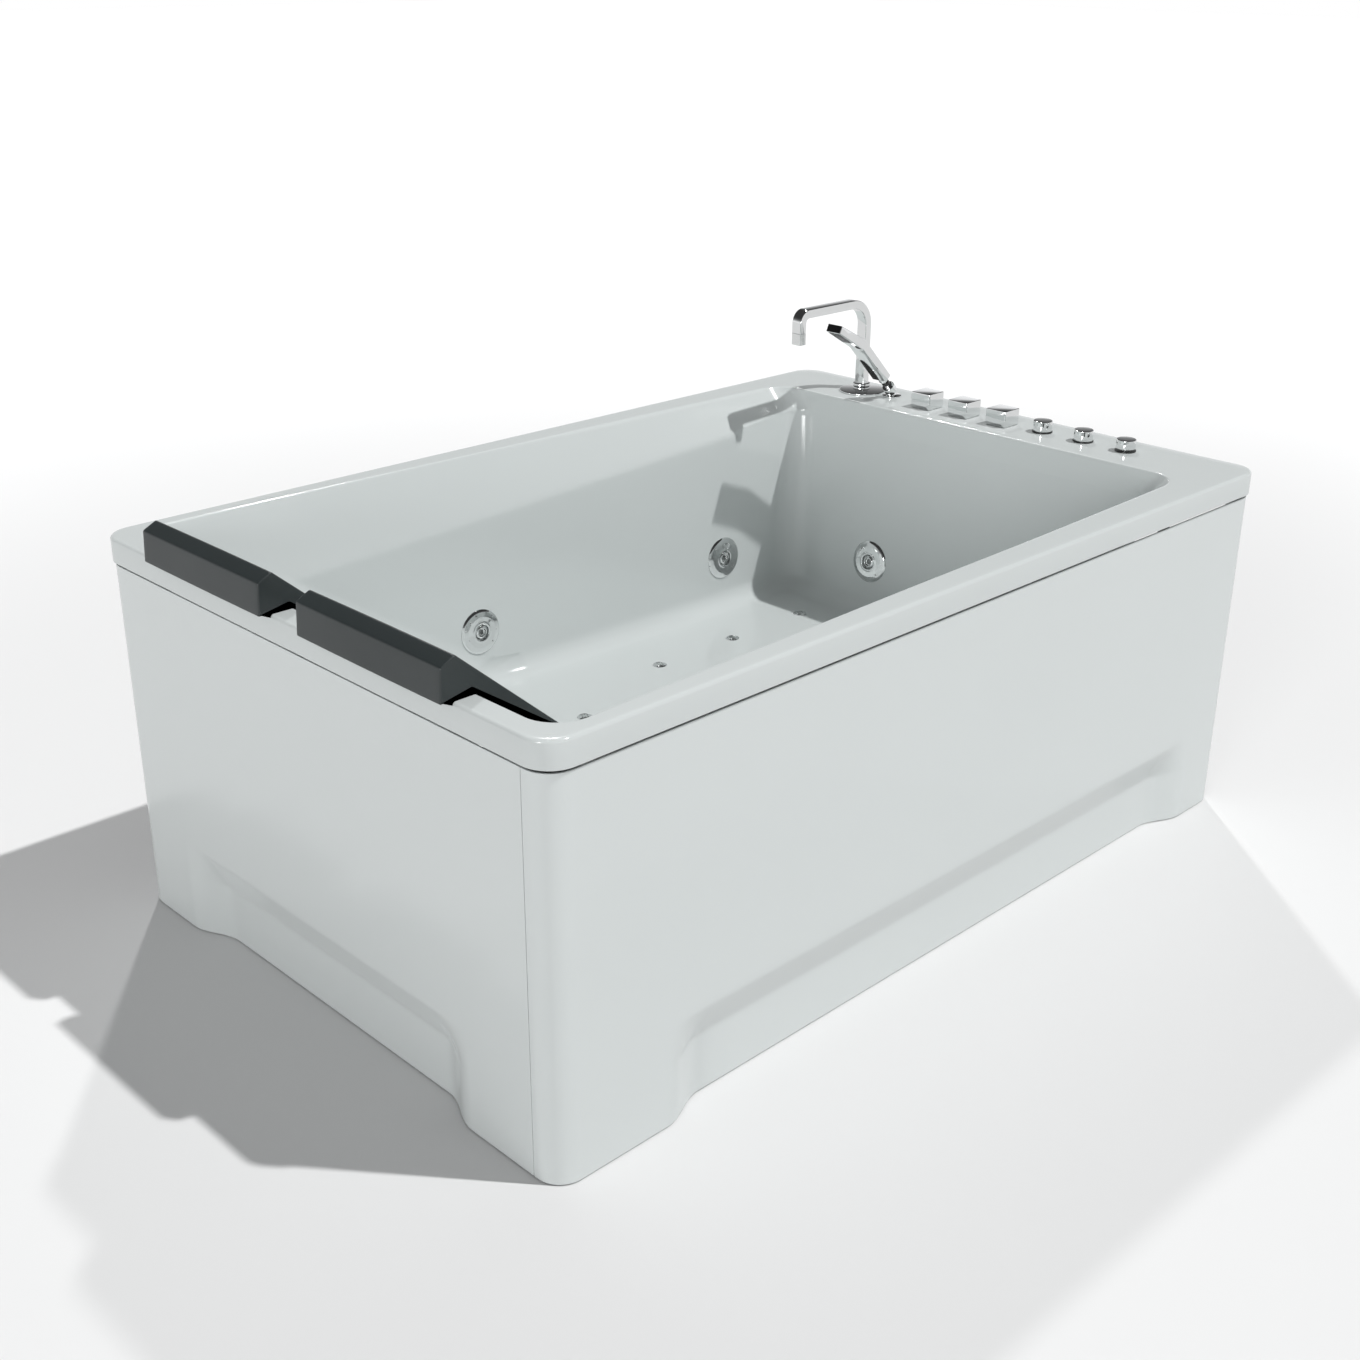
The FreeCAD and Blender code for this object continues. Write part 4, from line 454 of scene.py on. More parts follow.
def sideWall(x, z):
    # half the basin's width: a flat wall, a shallower armrest above the crease, and the foot well
    s = shell
    perX = (s["floorHalfFoot"] - s["floorHalfHead"]) / (s["floorFoot"] - s["floorHead"])
    perZ = (s["creaseHalfFoot"] - s["floorHalfFoot"] - perX * (s["basinFoot"] - s["floorFoot"])) / (
        s["creaseFoot"] - s["floor"])
    base = s["floorHalfFoot"] + perX * (x - s["floorFoot"])
    crease = creaseHeight(x)
    lower = base + perZ * (z - s["floor"])
    atCrease = base + perZ * (crease - s["floor"])
    rise = (sloped(x, "basinHead", "basinFoot", "rimHalfHead", "rimHalfFoot") - atCrease) / (s["top"] - crease)
    soft = s["creaseSoft"]
    kink = (z - crease) / soft
    wall = lower + (rise - perZ) * soft * np.log1p(np.exp(np.clip(kink, -30, 30)))
    wall = np.where(kink > 30, lower + (rise - perZ) * (z - crease), wall)
    well = sloped(np.clip(z, s["wellLow"], s["top"]), "wellLow", "top", "wellLowHalf", "wellHalf")
    wide = np.maximum(wall, np.where(z > s["wellLow"], well, 0))
    return wall + smoothStep((x - s["wellStart"] + s["wellSoft"] / 2) / s["wellSoft"]) * (wide - wall)


def byStretch(part, *values):
    # the value for each column's stretch: foot wall, foot corner, side, head corner, head wall
    return np.select([part == number for number in range(4)], values[:4], values[4])


def outlinePoint(part, share, z):
    # a point of the basin's outline at a height: from the foot wall's middle round to the head's middle
    s = shell
    t = (z - s["floor"]) / (s["top"] - s["floor"])
    foot = sloped(np.clip(z, s["floor"], s["creaseFoot"]), "floor", "creaseFoot", "floorFoot", "basinFoot")
    head = sloped(z, "floor", "top", "floorHead", "basinHead")
    footR = s["footCorner"]
    headLong = s["floorCorner"][0] + (s["rimCorner"] - s["floorCorner"][0]) * t ** 1.1
    headWide = s["floorCorner"][1] + (s["rimCorner"] - s["floorCorner"][1]) * t
    angle = share * quarter
    footX = foot - footR * (1 - np.cos(angle))
    sideX = (foot - footR) + (head + headLong - foot + footR) * share
    headX = head + headLong * (1 - np.sin(angle))
    x = byStretch(part, foot, footX, sideX, headX, head)
    y = byStretch(part, (sideWall(foot, z) - footR) * share, sideWall(footX, z) - footR * (1 - np.sin(angle)),
        sideWall(sideX, z), sideWall(headX, z) - headWide * (1 - np.cos(angle)),
        (sideWall(head, z) - headWide) * (1 - share))
    return x, y


def outlineShares():
    # which stretch each column lies on and how far along it; the side's crowd about the foot well's start
    part, share = [], []
    for number, count in enumerate((26, 16, 0, 20, 26)):
        steps = np.linspace(0, 1, count, endpoint=False)
        if number == 2:
            cornerX = shell["basinFoot"] - shell["footCorner"]
            bend = (cornerX - shell["wellStart"]) / (cornerX - shell["basinHead"] - shell["rimCorner"])
            stops = ((0, bend - 0.02, 12), (bend - 0.02, bend + 0.06, 40), (bend + 0.06, 1, 84))
            steps = np.concatenate([np.linspace(*stop, endpoint=False) for stop in stops])
        part += [number] * len(steps)
        share += list(steps)
    return np.array(part + [4]), np.array(share + [1.0])


def outlineNormal(x, y):
    # the outward direction in plan of an open half outline whose ends lie square to the middle line
    dx, dy = np.gradient(x), np.gradient(y)
    dx[0], dx[-1] = 0, 0
    length = np.hypot(dx, dy)
    return dy / length, -dx / length


def basinRows(part, share):
    # rows of the half shell from the deck's inner edge to the floor's middle, each (x, y, z)
    s = shell
    rows = []

    def outlineRow(z):
        rows.append((*outlinePoint(part, share, z), z))

    def edgeOf(height, step):
        # the outline at a height, its normals, and how far it has shifted along them one step away
        x, y = outlinePoint(part, share, np.full(part.shape, height))
        nx, ny = outlineNormal(x, y)
        stepX, stepY = outlinePoint(part, share, np.full(part.shape, height + step))
        return x, y, nx, ny, (stepX - x) * nx + (stepY - y) * ny

    probe, band = s["probe"], s["creaseBand"]
    topX, topY, nx, ny, shift = edgeOf(s["top"], -probe)
    turn = np.arctan2(probe, np.maximum(-shift, 1e-5))
    # crisp at the head, softer along the foot half of the armrests
    bend = 0.005 + 0.012 * smoothStep((topX + 0.15) / 0.5) * (part == 2)
    for step in np.linspace(0, 1, 7):
        offset = bend * np.tan(turn / 2) - bend * np.sin(turn * step)
        rows.append((topX + nx * offset, topY + ny * offset, s["top"] - bend * (1 - np.cos(turn * step))))
    start = s["top"] - bend * (1 - np.cos(turn))
    creaseX = topX
    for _ in range(2):
        crease = np.clip(creaseHeight(creaseX), s["creaseHead"], s["creaseFoot"])
        creaseX, _ = outlinePoint(part, share, crease)
    for step in np.linspace(0, 1, 16)[1:]:
        outlineRow(start + (crease + band - start) * step)
    for step in np.linspace(0.009, -band, 14):
        outlineRow(crease + step)
    baseX, baseY, nx, ny, shift = edgeOf(s["floor"], probe)
    slope = np.arctan2(probe, np.maximum(shift, 1e-5))
    radius = s["floorRound"]
    filletTop = s["floor"] + radius * (1 - np.cos(slope))
    for step in np.linspace(0, 1, 42)[1:-1]:
        outlineRow((crease - band) + (filletTop - crease + band) * step)
    for step in np.linspace(1, 0, 12):
        offset = radius * np.sin(slope * step) - radius * np.tan(slope / 2)
        rows.append((baseX + nx * offset, baseY + ny * offset, s["floor"] + radius * (1 - np.cos(slope * step))))
    lastX, lastY = rows[-1][:2]
    spine = np.clip(lastX, *s["spine"])
    for step in np.linspace(0, 1, 11)[1:]:
        rows.append((lastX + (spine - lastX) * step, lastY * (1 - step), np.full(part.shape, s["floor"])))
    return rows


def rimRows(part, share, inner):
    # rows from the lip's lower edge up its face, over the crown and across the deck to the inner edge
    s = shell
    top, edge, angle = s["top"], s["edge"], share * quarter
    rows = []
    levels = [(0, top - s["lip"]), (0, top - s["lip"] * 0.6), (0, top - edge)]
    levels += [(inset, top - rise) for inset, rise in quarterEdge(edge, 6)[-2::-1]]
    for inset, z in levels:
        foot, head, half = s["foot"] - inset, s["head"] + inset, s["halfWidth"] - inset
        r = s["corner"] - inset
        x = byStretch(part, foot, foot - r * (1 - np.cos(angle)), foot - r + (head - foot + 2 * r) * share,
            head + r * (1 - np.sin(angle)), head)
        y = byStretch(part, (half - r) * share, half - r * (1 - np.sin(angle)), half, half - r * (1 - np.cos(angle)),
            (half - r) * (1 - share))
        rows.append((x, y, np.full(part.shape, z)))
    for step in np.linspace(0, 1, 8)[1:-1]:
        rows.append((x + (inner[0] - x) * step, y + (inner[1] - y) * step, np.full(part.shape, top)))
    return rows


def applied(piece):
    # bakes a piece's modifiers into its mesh
    graph = bpy.context.evaluated_depsgraph_get()
    baked = bpy.data.meshes.new_from_object(piece.evaluated_get(graph))
    old = piece.data
    piece.modifiers.clear()
    piece.data = baked
    bpy.data.meshes.remove(old)


def shellPiece():
    # the half skin and its mirror image across Y, given its wall below, with the drain's hole through it
    part, share = outlineShares()
    basin = basinRows(part, share)
    rows = rimRows(part, share, basin[0]) + basin
    half = np.array([np.stack([x, y, z + 0 * x], -1) for x, y, z in rows])
    near = half[:, 1:-1][:, ::-1] * np.array([1, -1, 1])
    grid = np.concatenate([half, near], 1)

    def clean(work):
        bmesh.ops.remove_doubles(work, verts=work.verts, dist=1e-6)
        bmesh.ops.dissolve_degenerate(work, edges=work.edges, dist=1e-7)
        bmesh.ops.recalc_face_normals(work, faces=work.faces)
        if sum(face.normal.z * face.calc_area() for face in work.faces) < 0:
            bmesh.ops.reverse_faces(work, faces=work.faces)

    mesh = newMesh("bathShell", grid.reshape(-1, 3), gridFaces(*grid.shape[:2], caps=False))
    edited(mesh, clean)
    piece = finishPiece("bathShell", mesh, "shell", "tub", "tub_shell", 60)
    newModifier(piece, "wall", "SOLIDIFY", thickness=shell["wall"], offset=-1)
    drainX, drainR = shell["drain"]
    drill = moved(revolved([(drainR, -0.05), (drainR, 0.05)]), (drainX, 0, shell["floor"]))
    cutter = newObject("drainDrill", newMesh("drainDrill", *drill))
    newModifier(piece, "drain", "BOOLEAN", object=cutter, solver="EXACT")
    applied(piece)
    bpy.data.objects.remove(cutter)
    piece.data.shade_smooth()
    piece.data.set_sharp_from_angle(angle=math.radians(50))


shellPiece()
print("shell made")


# aprons, frame and other parts whose CAD shape is right

aprons = {
    "low": 0.002, "high": 0.674, "face": -0.596, "headFace": -0.9105, "corner": 0.046, "wall": 0.004,
    "seam": -0.5415, "seamGap": 0.001, "farEnd": -0.8445, "footStart": 0.8855, "footTurn": 38,
    "depth": 0.032, "recessTop": 0.181, "recessFlat": 0.110, "blend": 0.1, "soft": 0.07,
    "frontRecess": (-0.6895, 0.7955), "headRecess": (-0.395, 0.430), "bandSteps": (0.095, 0.196),
}


def softClamp(value, soft):
    # 0 below 0 and 1 above 1, with its two corners rounded by hyperbolas
    return 0.5 * (np.sqrt(value ** 2 + soft ** 2) - np.sqrt((value - 1) ** 2 + soft ** 2) + 1)


def apronPiece(name, plan, normals, along, recess):
    # a plan line carried upwards and pressed in by depth * ends(along) * band(height): half cosine waves
    # along the apron, and a straight slope from the flat foot band to the face
    a = aprons
    bandLow, bandHigh = a["bandSteps"]
    heights = np.concatenate([np.linspace(a["low"], bandLow, 8, endpoint=False),
        np.linspace(bandLow, bandHigh, 34, endpoint=False), np.linspace(bandHigh, a["high"], 14)])
    rise = np.clip((along - recess[0]) / a["blend"], 0, 1)
    fall = np.clip((recess[1] - along) / a["blend"], 0, 1)
    ends = (0.5 - 0.5 * np.cos(math.pi * rise)) * (0.5 - 0.5 * np.cos(math.pi * fall))
    band = softClamp((a["recessTop"] - heights) / (a["recessTop"] - a["recessFlat"]), a["soft"])
    pressed = a["depth"] * band[:, None] * ends[None]
    grid = np.empty((len(heights), len(plan), 3))
    grid[..., :2] = plan[None] - normals[None] * pressed[..., None]
    grid[..., 2] = heights[:, None]
    faces = gridFaces(len(heights), len(plan), closedColumns=False, caps=False)
    first = np.cross(grid[0, 1] - grid[0, 0], grid[1, 0] - grid[0, 0])
    if first[:2] @ normals[0] < 0:
        faces = [face[::-1] for face in faces]
    piece = finishPiece(name + "Skin", newMesh(name + "Skin", grid.reshape(-1, 3), faces), "apron", "tub", name,
        50)
    newModifier(piece, "wall", "SOLIDIFY", thickness=a["wall"], offset=-1)
    easeEdges(piece, 0.0009, 60)


def arcPoints(centre, start, end, count):
    angle = np.radians(np.linspace(start, end, count))
    normals = np.stack([np.cos(angle), np.sin(angle)], -1)
    return np.array(centre) + aprons["corner"] * normals, normals


def recessSteps(recess, count):
    # places along an apron, close together where its recess blends in
    low, high = recess
    return [np.linspace(low, low + 0.11, 24), np.linspace(low + 0.12, high - 0.12, count),
        np.linspace(high - 0.11, high, 24)]


def apronPieces():
    # the plan lines of both aprons: straight stretches and quarter circles
    a = aprons
    cornerX, cornerY = a["headFace"] + a["corner"], a["face"] + a["corner"]
    arc, arcNormals = arcPoints((cornerX, cornerY), 180, 270, 14)
    span = a["frontRecess"]
    xs = np.concatenate([np.linspace(cornerX, span[0] - 0.01, 8)[1:], *recessSteps(span, 40),
        [span[1] + 0.02, a["footStart"]]])
    line = np.stack([xs, np.full(len(xs), a["face"])], -1)
    footArc, footNormals = arcPoints((a["footStart"], cornerY), 270, 270 + a["footTurn"], 7)
    plan = np.concatenate([[(a["headFace"], a["seam"])], arc, line, footArc[1:]])
    normals = np.concatenate([[(-1.0, 0.0)], arcNormals, np.tile((0.0, -1.0), (len(xs), 1)), footNormals[1:]])
    apronPiece("front_apron", plan, normals, np.where(normals[:, 1] < -0.999, plan[:, 0], -9.0), span)
    span = a["headRecess"]
    ys = np.concatenate([[a["seam"] + a["seamGap"]], np.linspace(-0.50, span[0] - 0.01, 4), *recessSteps(span, 24),
        np.linspace(span[1] + 0.01, 0.55, 4)])
    line = np.stack([np.full(len(ys), a["headFace"]), ys], -1)
    arc, arcNormals = arcPoints((cornerX, -cornerY), 180, 90, 14)
    plan = np.concatenate([line, arc[1:], [(a["farEnd"], -a["face"])]])
    normals = np.concatenate([np.tile((-1.0, 0.0), (len(ys), 1)), arcNormals[1:], [(0.0, 1.0)]])
    apronPiece("head_apron", plan, normals, np.where(normals[:, 0] < -0.999, plan[:, 1], -9.0), span)


apronPieces()
for node in ("frame_base", "frame_posts", "frame_cradle", "frame_rim_rails", "pump_plate"):
    dressedCopy(node, "frame", edge=0.0012)
dressedCopy("apron_clips", "blackPlastic", edge=0.0008)
dressedCopy("base_board", "board", edge=0.0006)
print("aprons and frame made")


# pillows

pillow = {
    "width": 0.353, "middle": 0.228, "back": -0.9350, "rim": 0.7254,
    # side view from the back's lower corner, over the top and down the tongue that lies on the backrest
    "outline": [(0.0, 0.0), (0.003, 0.055), (0.029, 0.068), "tipHigh", "tipLow", "seat", (0.055, 0.010), (0.020, 0.0)],
    "rounds": [0.003, 0.0035, 0.004, 0.003, 0.003, 0.002, 0.003, 0.002],
    "tongue": 0.185, "tipLift": 0.020, "seatStart": 0.008, "seatGap": 0.0004, "stepLong": 0.008,
    "endRound": 0.003, "endDraw": 0.9, "crown": 0.0015 * 0.35,
}


def backrestPoint(along, lift):
    # a point lifted square off the backrest, at a distance down it from the rim
    slope = math.atan2(shell["top"] - shell["floor"], shell["floorHead"] - shell["basinHead"])
    return (shell["basinHead"] + along * math.cos(slope) + lift * math.sin(slope),
        shell["top"] - along * math.sin(slope) + lift * math.cos(slope))


def pillowSide():
    # the side view with its corners rounded and points along its straight runs
    p = pillow
    named = {"tipHigh": backrestPoint(p["tongue"], p["tipLift"]), "tipLow": backrestPoint(p["tongue"], p["seatGap"]),
        "seat": backrestPoint(p["seatStart"], p["seatGap"])}
    corners = [named[c] if isinstance(c, str) else (p["back"] + c[0], p["rim"] + c[1]) for c in p["outline"]]
    curves = loopCurves(corners, p["rounds"], 7)
    out = []
    for number, curve in enumerate(curves):
        following = (number + 1) % len(curves)
        length = norm(corners[following] - curve[-1])
        steps = np.linspace(0, 1, max(3, int(length / p["stepLong"])))[1:-1, None]
        out += [curve, curve[-1] + (curves[following][0] - curve[-1]) * steps]
    return np.concatenate(out)


for name, side in (("pillow_far", 1), ("pillow_near", -1)):
    half, endRound = pillow["width"] / 2, pillow["endRound"]
    between = np.linspace(-half + endRound, half - endRound, 36)[1:-1]
    solid = carriedAcross(pillowSide(), half, side * pillow["middle"], endRound, 7, between, pillow["endDraw"],
        pillow["crown"])
    makePiece(name + "Padded", [solid], "pillow", name, name, 60)
print("pillows made")


# spout

spout = {
    "x": 0.8735, "y": 0.378, "deck": 0.725, "top": 0.934, "reach": 0.224, "drop": 0.076,
    "wide": 0.026, "deep": 0.019, "bend": 0.062, "edge": 0.0016, "collar": (0.020, 0.008),
    "plate": (0.053, 0.004), "plateShift": 0.022, "tip": 0.026,
}


def spoutPieces():
    s = spout
    x, y, deck, tip, half, inset = s["x"], s["y"], s["deck"], s["tip"], s["wide"] / 2, s["deep"] / 2
    outlet, tipX, topLine = s["top"] - s["drop"], s["x"] - s["reach"], s["top"] - inset
    collarLow = deck + s["plate"][1]
    path = squareBends([(x, y, collarLow + s["collar"][1] - 0.001), (x, y, topLine), (tipX, y, topLine),
        (tipX, y, outlet + tip)], s["bend"] - inset, 18)
    arch = swept(path, roundedRectangle(half, inset, s["edge"], 5), (0, 1, 0))
    collar = puck(s["collar"], 0.0015, 56, (x, y, collarLow))
    makePiece("spoutArch", [arch, collar], "chrome", "spout", "spout", 30)
    levels = [(0.0008, 0), (0, 0.0008), (0, tip - 0.0012), (0.0007, tip - 0.0006), (0.0009, tip)]
    end = moved(stackedOutline(inset, half, s["edge"], levels, 5), (tipX, y, outlet))
    makePiece("spoutTip", [end], "satinChrome", "spout", sharp=30)
    mesh = moved(revolved([(0.0005, 0.0002), (0.0046, 0.0002), (0.0046, 0.002), (0.0005, 0.002)]), (tipX, y, outlet))
    makePiece("spoutAerator", [mesh], "blackPlastic", "spout", "spout_aerator")
    plate = puck(s["plate"], 0.0016, 96, (x - s["plateShift"], y - s["plateShift"], deck))
    makePiece("spoutPlate", [plate], "chrome", "tub", "spout_rosette", 30)


spoutPieces()


# hand shower

shower = {
    "x": 0.8585, "y": 0.275, "root": (0.819, 0.775), "length": 0.134, "wide": 0.039, "deep": 0.020, "elbow": 0.012,
    "run": 0.081, "rise": 0.0405, "lean": 0.007, "headDeep": 0.016, "neck": 0.009, "neckLong": 0.045,
    "cup": (0.014, 0.033, 0.019), "foot": (0.022, 0.004), "edge": 0.0018,
    "rounds": [0.003, 0.005, 0.0012, 0.0012, 0.006, 0.003],
    "faceStart": 0.006, "faceLong": 0.052, "nozzles": (3, 8), "nozzleGap": (0.008, 0.0057),
}


def alongWand(distance, lift):
    # a point along the wand's slanting middle line, and square off it, in side view
    slant = math.sqrt(0.5)
    return shower["root"][0] - (distance - lift) * slant, shower["root"][1] + (distance + lift) * slant


def thinPlate(corners, half):
    return carriedAcross(np.concatenate(loopCurves(corners, [0.0003] * 4)), half, shower["y"], 0.0004)


def showerPieces():
    # the wand's side view carried across its width, and its round neck in the cup
    s = shower
    y, half, halfWide, neckR, neckLong = s["y"], s["deep"] / 2, s["wide"] / 2, s["neck"], s["neckLong"]
    bendHigh = alongWand(s["length"], half)
    bendLow = np.array(alongWand(s["length"] - s["elbow"], -half))
    tip = np.array((bendHigh[0] - s["run"], bendHigh[1] + s["rise"]))
    under = tip - (s["lean"], s["headDeep"])
    corners = [alongWand(0, -half), bendLow, under, tip, bendHigh, alongWand(0, half)]
    wand = carriedAcross(np.concatenate(loopCurves(corners, s["rounds"])), halfWide, y, s["edge"])
    makePiece("showerWand", [wand], "chrome", "hand_shower", "hand_shower", 26)
    down = (math.sqrt(0.5), 0, -math.sqrt(0.5))
    startX, startZ = alongWand(0, 0)

    def onWand(profile, ease, segments, spot=(startX, startZ)):
        return seated(turned(profile, ease, segments), (spot[0], y, spot[1]), down)

    neck = onWand([(0.001, -0.002), (neckR * 1.15, -0.002), (neckR * 1.15, 0.010), (neckR * 0.82, 0.014),
        (neckR * 0.82, neckLong - 0.004), (0.001, neckLong - 0.001)], 0.001, 40)
    makePiece("showerNeck", [neck], "chrome", "hand_shower")
    stripe = onWand([(0.001, 0.016), (neckR * 0.98, 0.016), (neckR * 0.98, 0.024), (0.001, 0.024)], 0.0006, 40)
    makePiece("showerStripe", [stripe], "blackGloss", "hand_shower")
    slope = tip - under
    out = unit([-slope[1], slope[0]]) * 0.0012
    high, low = tip + (0.0004, -0.0006), under + (0.0004, 0.0006)
    makePiece("showerEndCap", [thinPlate([high, low, low + out, high + out], halfWide - 0.0012)], "blackGloss",
        "hand_shower")
    faceRun = unit(bendLow - under)
    faceOut = np.array([faceRun[1], -faceRun[0]])
    if faceOut[1] > 0:
        faceOut = -faceOut
    start = under + faceRun * s["faceStart"]
    end = start + faceRun * s["faceLong"]
    face = thinPlate([start, end, end + faceOut * 0.001, start + faceOut * 0.001], halfWide - 0.005)
    nozzles = []
    (rows, columns), (rowGap, columnGap) = s["nozzles"], s["nozzleGap"]
    for row in range(rows):
        for column in range(columns):
            spot = start + faceRun * (0.006 + column * columnGap) + faceOut * 0.0009
            nozzles.append(seated(revolved([(0.0011, 0), (0.0008, 0.0009)], 8),
                (spot[0], y + (row - 1) * rowGap, spot[1]), (faceOut[0], 0, faceOut[1])))
    makePiece("showerFace", [face], "blackPlastic", "hand_shower", "shower_spray_face")
    makePiece("showerNozzles", nozzles, "rubber", "hand_shower")
    cupR, cupStart, cupLong = s["cup"]
    cup = onWand([(neckR + 0.0006, 0.0), (cupR, 0.0), (cupR, cupLong), (0.004, cupLong + 0.0005)], 0.0012, 48,
        alongWand(-cupStart, 0))
    footR, footHigh = s["foot"]
    foot = turned([(0.002, 0), (footR, 0), (footR, footHigh), (0.011, footHigh + 0.001), (0.010, 0.014),
        (0.002, 0.014)], 0.0012, 56, (s["x"], y, spout["deck"]))
    makePiece("showerSocket", [cup, foot], "chrome", "tub", "shower_socket")


showerPieces()
print("spout and hand shower made")


# knobs

knob = {
    "deck": 0.725, "squareX": 0.8395, "square": 0.051, "squareHigh": 0.035, "lift": 0.0006, "edge": 0.0012,
    "squares": {"hot_knob": 0.159, "cold_knob": 0.0575, "diverter_knob": -0.044},
    "roundX": 0.8515, "round": 0.020, "roundHigh": 0.022, "ring": (0.0215, 0.003), "travel": 0.003,
    "rounds": {"air_knob_left": -0.140, "air_knob_right": -0.2415, "pump_button": -0.343},
    "spindle": 0.007, "mark": (0.0022, 0.009), "markTurn": math.radians(38),
}


def knobPieces():
    k = knob
    half, low, radius, ringHigh = k["square"] / 2, k["deck"] + k["lift"], k["round"], k["ring"][1]

    def grip(name, top, x, y, foot, head):
        spindle = moved(revolved([(k["spindle"], foot), (k["spindle"], head)], 24), (x, y, 0))
        makePiece(name + "Grip", [top, spindle], "chrome", name, name, 26)

    for name, y in k["squares"].items():
        x = k["squareX"]
        top = softBlock((x - half, y - half, low), (x + half, y + half, low + k["squareHigh"]), 0.002, k["edge"], 4, 6)
        grip(name, top, x, y, 0.690, low + 0.002)
    rings = []
    x = k["roundX"]
    for name, y in k["rounds"].items():
        seat = k["deck"] + ringHigh + k["lift"] / 2
        base = seat + (k["travel"] if name == "pump_button" else 0)
        high = seat + k["roundHigh"]
        grip(name, turned([(0.002, base), (radius - 0.0004, base), (radius, base + 0.0006), (radius, high),
            (0.002, high - 0.0003)], 0.0016, 72, (x, y, 0)), x, y, 0.692, base + 0.002)
        if name != "pump_button":
            # a thin black line down the side that faces the bather
            wide, tall = k["mark"]
            points, faces = softBlock((-0.0006, -wide / 2, high - 0.002 - tall), (0.0003, wide / 2, high - 0.002),
                0.0004, 0.0002)
            points[:, 0] = -radius - points[:, 0]
            cos, sin = math.cos(k["markTurn"]), math.sin(k["markTurn"])
            points[:, :2] = points[:, :2] @ np.array([[cos, sin], [-sin, cos]])
            makePiece(name + "Mark", [facedOut(points + np.array([x, y, 0]), faces)], "blackGloss", name)
        rings.append(puck(k["ring"], 0.0007, 72, (x, y, k["deck"]), 0.010))
    makePiece("blackKnobRings", rings, "blackPlastic", "tub", "knob_rings")


knobPieces()
print("knobs made")


# wall jets

jet = {
    "radius": 0.0475, "crown": 0.007, "seat": 0.0168, "ball": 0.0156, "ballFront": 0.0085, "bore": 0.006,
    "screw": (0.0022, 0.036 * 0.7), "sideX": {"head": -0.1875, "foot": 0.5025}, "height": 0.375, "footY": 0.208,
    "ballDepth": 0.002,
}


def farWall(x, z):
    # the long far wall's half width and outward direction
    def wide(dx, dz):
        return float(sideWall(np.array(x + dx), np.array(z + dz)))
    step = 0.002
    normal = np.array([-(wide(step, 0) - wide(-step, 0)) / (2 * step), 1.0,
        -(wide(0, step) - wide(0, -step)) / (2 * step)])
    return wide(0, 0), unit(normal)


def jetSpots():
    spots = {}
    for side, sign in (("far", 1), ("near", -1)):
        for end, x in jet["sideX"].items():
            y, normal = farWall(x, jet["height"])
            spots[side + "_" + end] = ((x, y * sign, jet["height"]), normal * np.array([1, sign, 1]))
        x, _ = outlinePoint(np.array([0]), np.array([0.0]), np.array([jet["height"]]))
        rise = (shell["basinFoot"] - shell["floorFoot"]) / (shell["creaseFoot"] - shell["floor"])
        normal = unit([1.0, 0, -rise])
        spots["foot_" + side] = ((float(x[0]), jet["footY"] * sign, jet["height"]), normal)
    return spots


def jetPieces():
    # each jet: a crowned disc with an upturned edge and two screws, and a ball nozzle in its middle
    j = jet
    seat, radius, crown = j["seat"], j["radius"], j["crown"]
    ballR, front, bore = j["ball"], j["ballFront"], j["bore"]
    discs, screws = [], []
    disc = revolved(roundedProfile([
        (seat, 0.004), (seat, -crown * 1.02), (seat + 0.003, -crown * 1.12), (seat + 0.006, -crown * 0.95),
        (radius * 0.72, -crown * 0.9), (radius - 0.004, -crown * 0.55), (radius, -crown * 0.12), (radius, 0.0002),
        (seat + 0.004, 0.0002)], 0.002), 72, True)
    ball = revolved(roundedProfile([
        (bore, 0.006), (ballR * 0.8, 0.006), (ballR, 0.001), (ballR * 0.985, -0.003), (ballR * 0.85, -front * 0.85),
        (ballR * 0.66, -front), (ballR * 0.60, -front), (ballR * 0.55, -front * 0.55), (bore, -front * 0.5),
        (bore, 0.006)], 0.001)[:-1], 48, True)
    # a black plug set back in each ball's bore stands in for the dark inside of the nozzle: painted shade
    throatShade = revolved([(bore * 0.98, -0.002), (bore * 0.98, 0.005)], 24)
    screwR, screwOut = j["screw"]
    for name, (spot, normal) in jetSpots().items():
        discs.append(seated(disc, spot, normal))
        for sign in (-1, 1):
            screw = turned([(0.0003, -0.0012), (screwR, -0.0012), (screwR * 0.8, 0.0004), (0.0003, 0.0004)], 0.0004, 16,
                (sign * screwOut, sign * screwOut, -crown * 0.86))
            screws.append(seated(screw, spot, normal))
        middle = np.array(spot) + np.array(normal) * j["ballDepth"]
        body = "jet_nozzle_" + name
        makePiece(body + "Ball", [seated(ball, middle, normal)], "chrome", body, body, 32)
        makePiece(body + "ThroatShade", [seated(throatShade, middle, normal)], "blackPlastic", body)
    makePiece("jetDiscs", discs, "chrome", "tub", "jet_faces", 32)
    makePiece("jetScrews", screws, "satinChrome", "tub")


jetPieces()
print("jets made")


# floor air jets, drain, overflow, suction

floorFittings = {
    "floor": 0.262, "cap": (0.015, 0.003), "stem": 0.008, "stemLow": -0.0525,
    "start": 0.133 + 0.0105, "spacing": 0.222, "side": 0.292, "head": (-0.1485, 0.202),
    "drain": 0.2105, "flange": (0.035, 0.0025), "bore": 0.018, "plug": (0.025, 0.006),
}


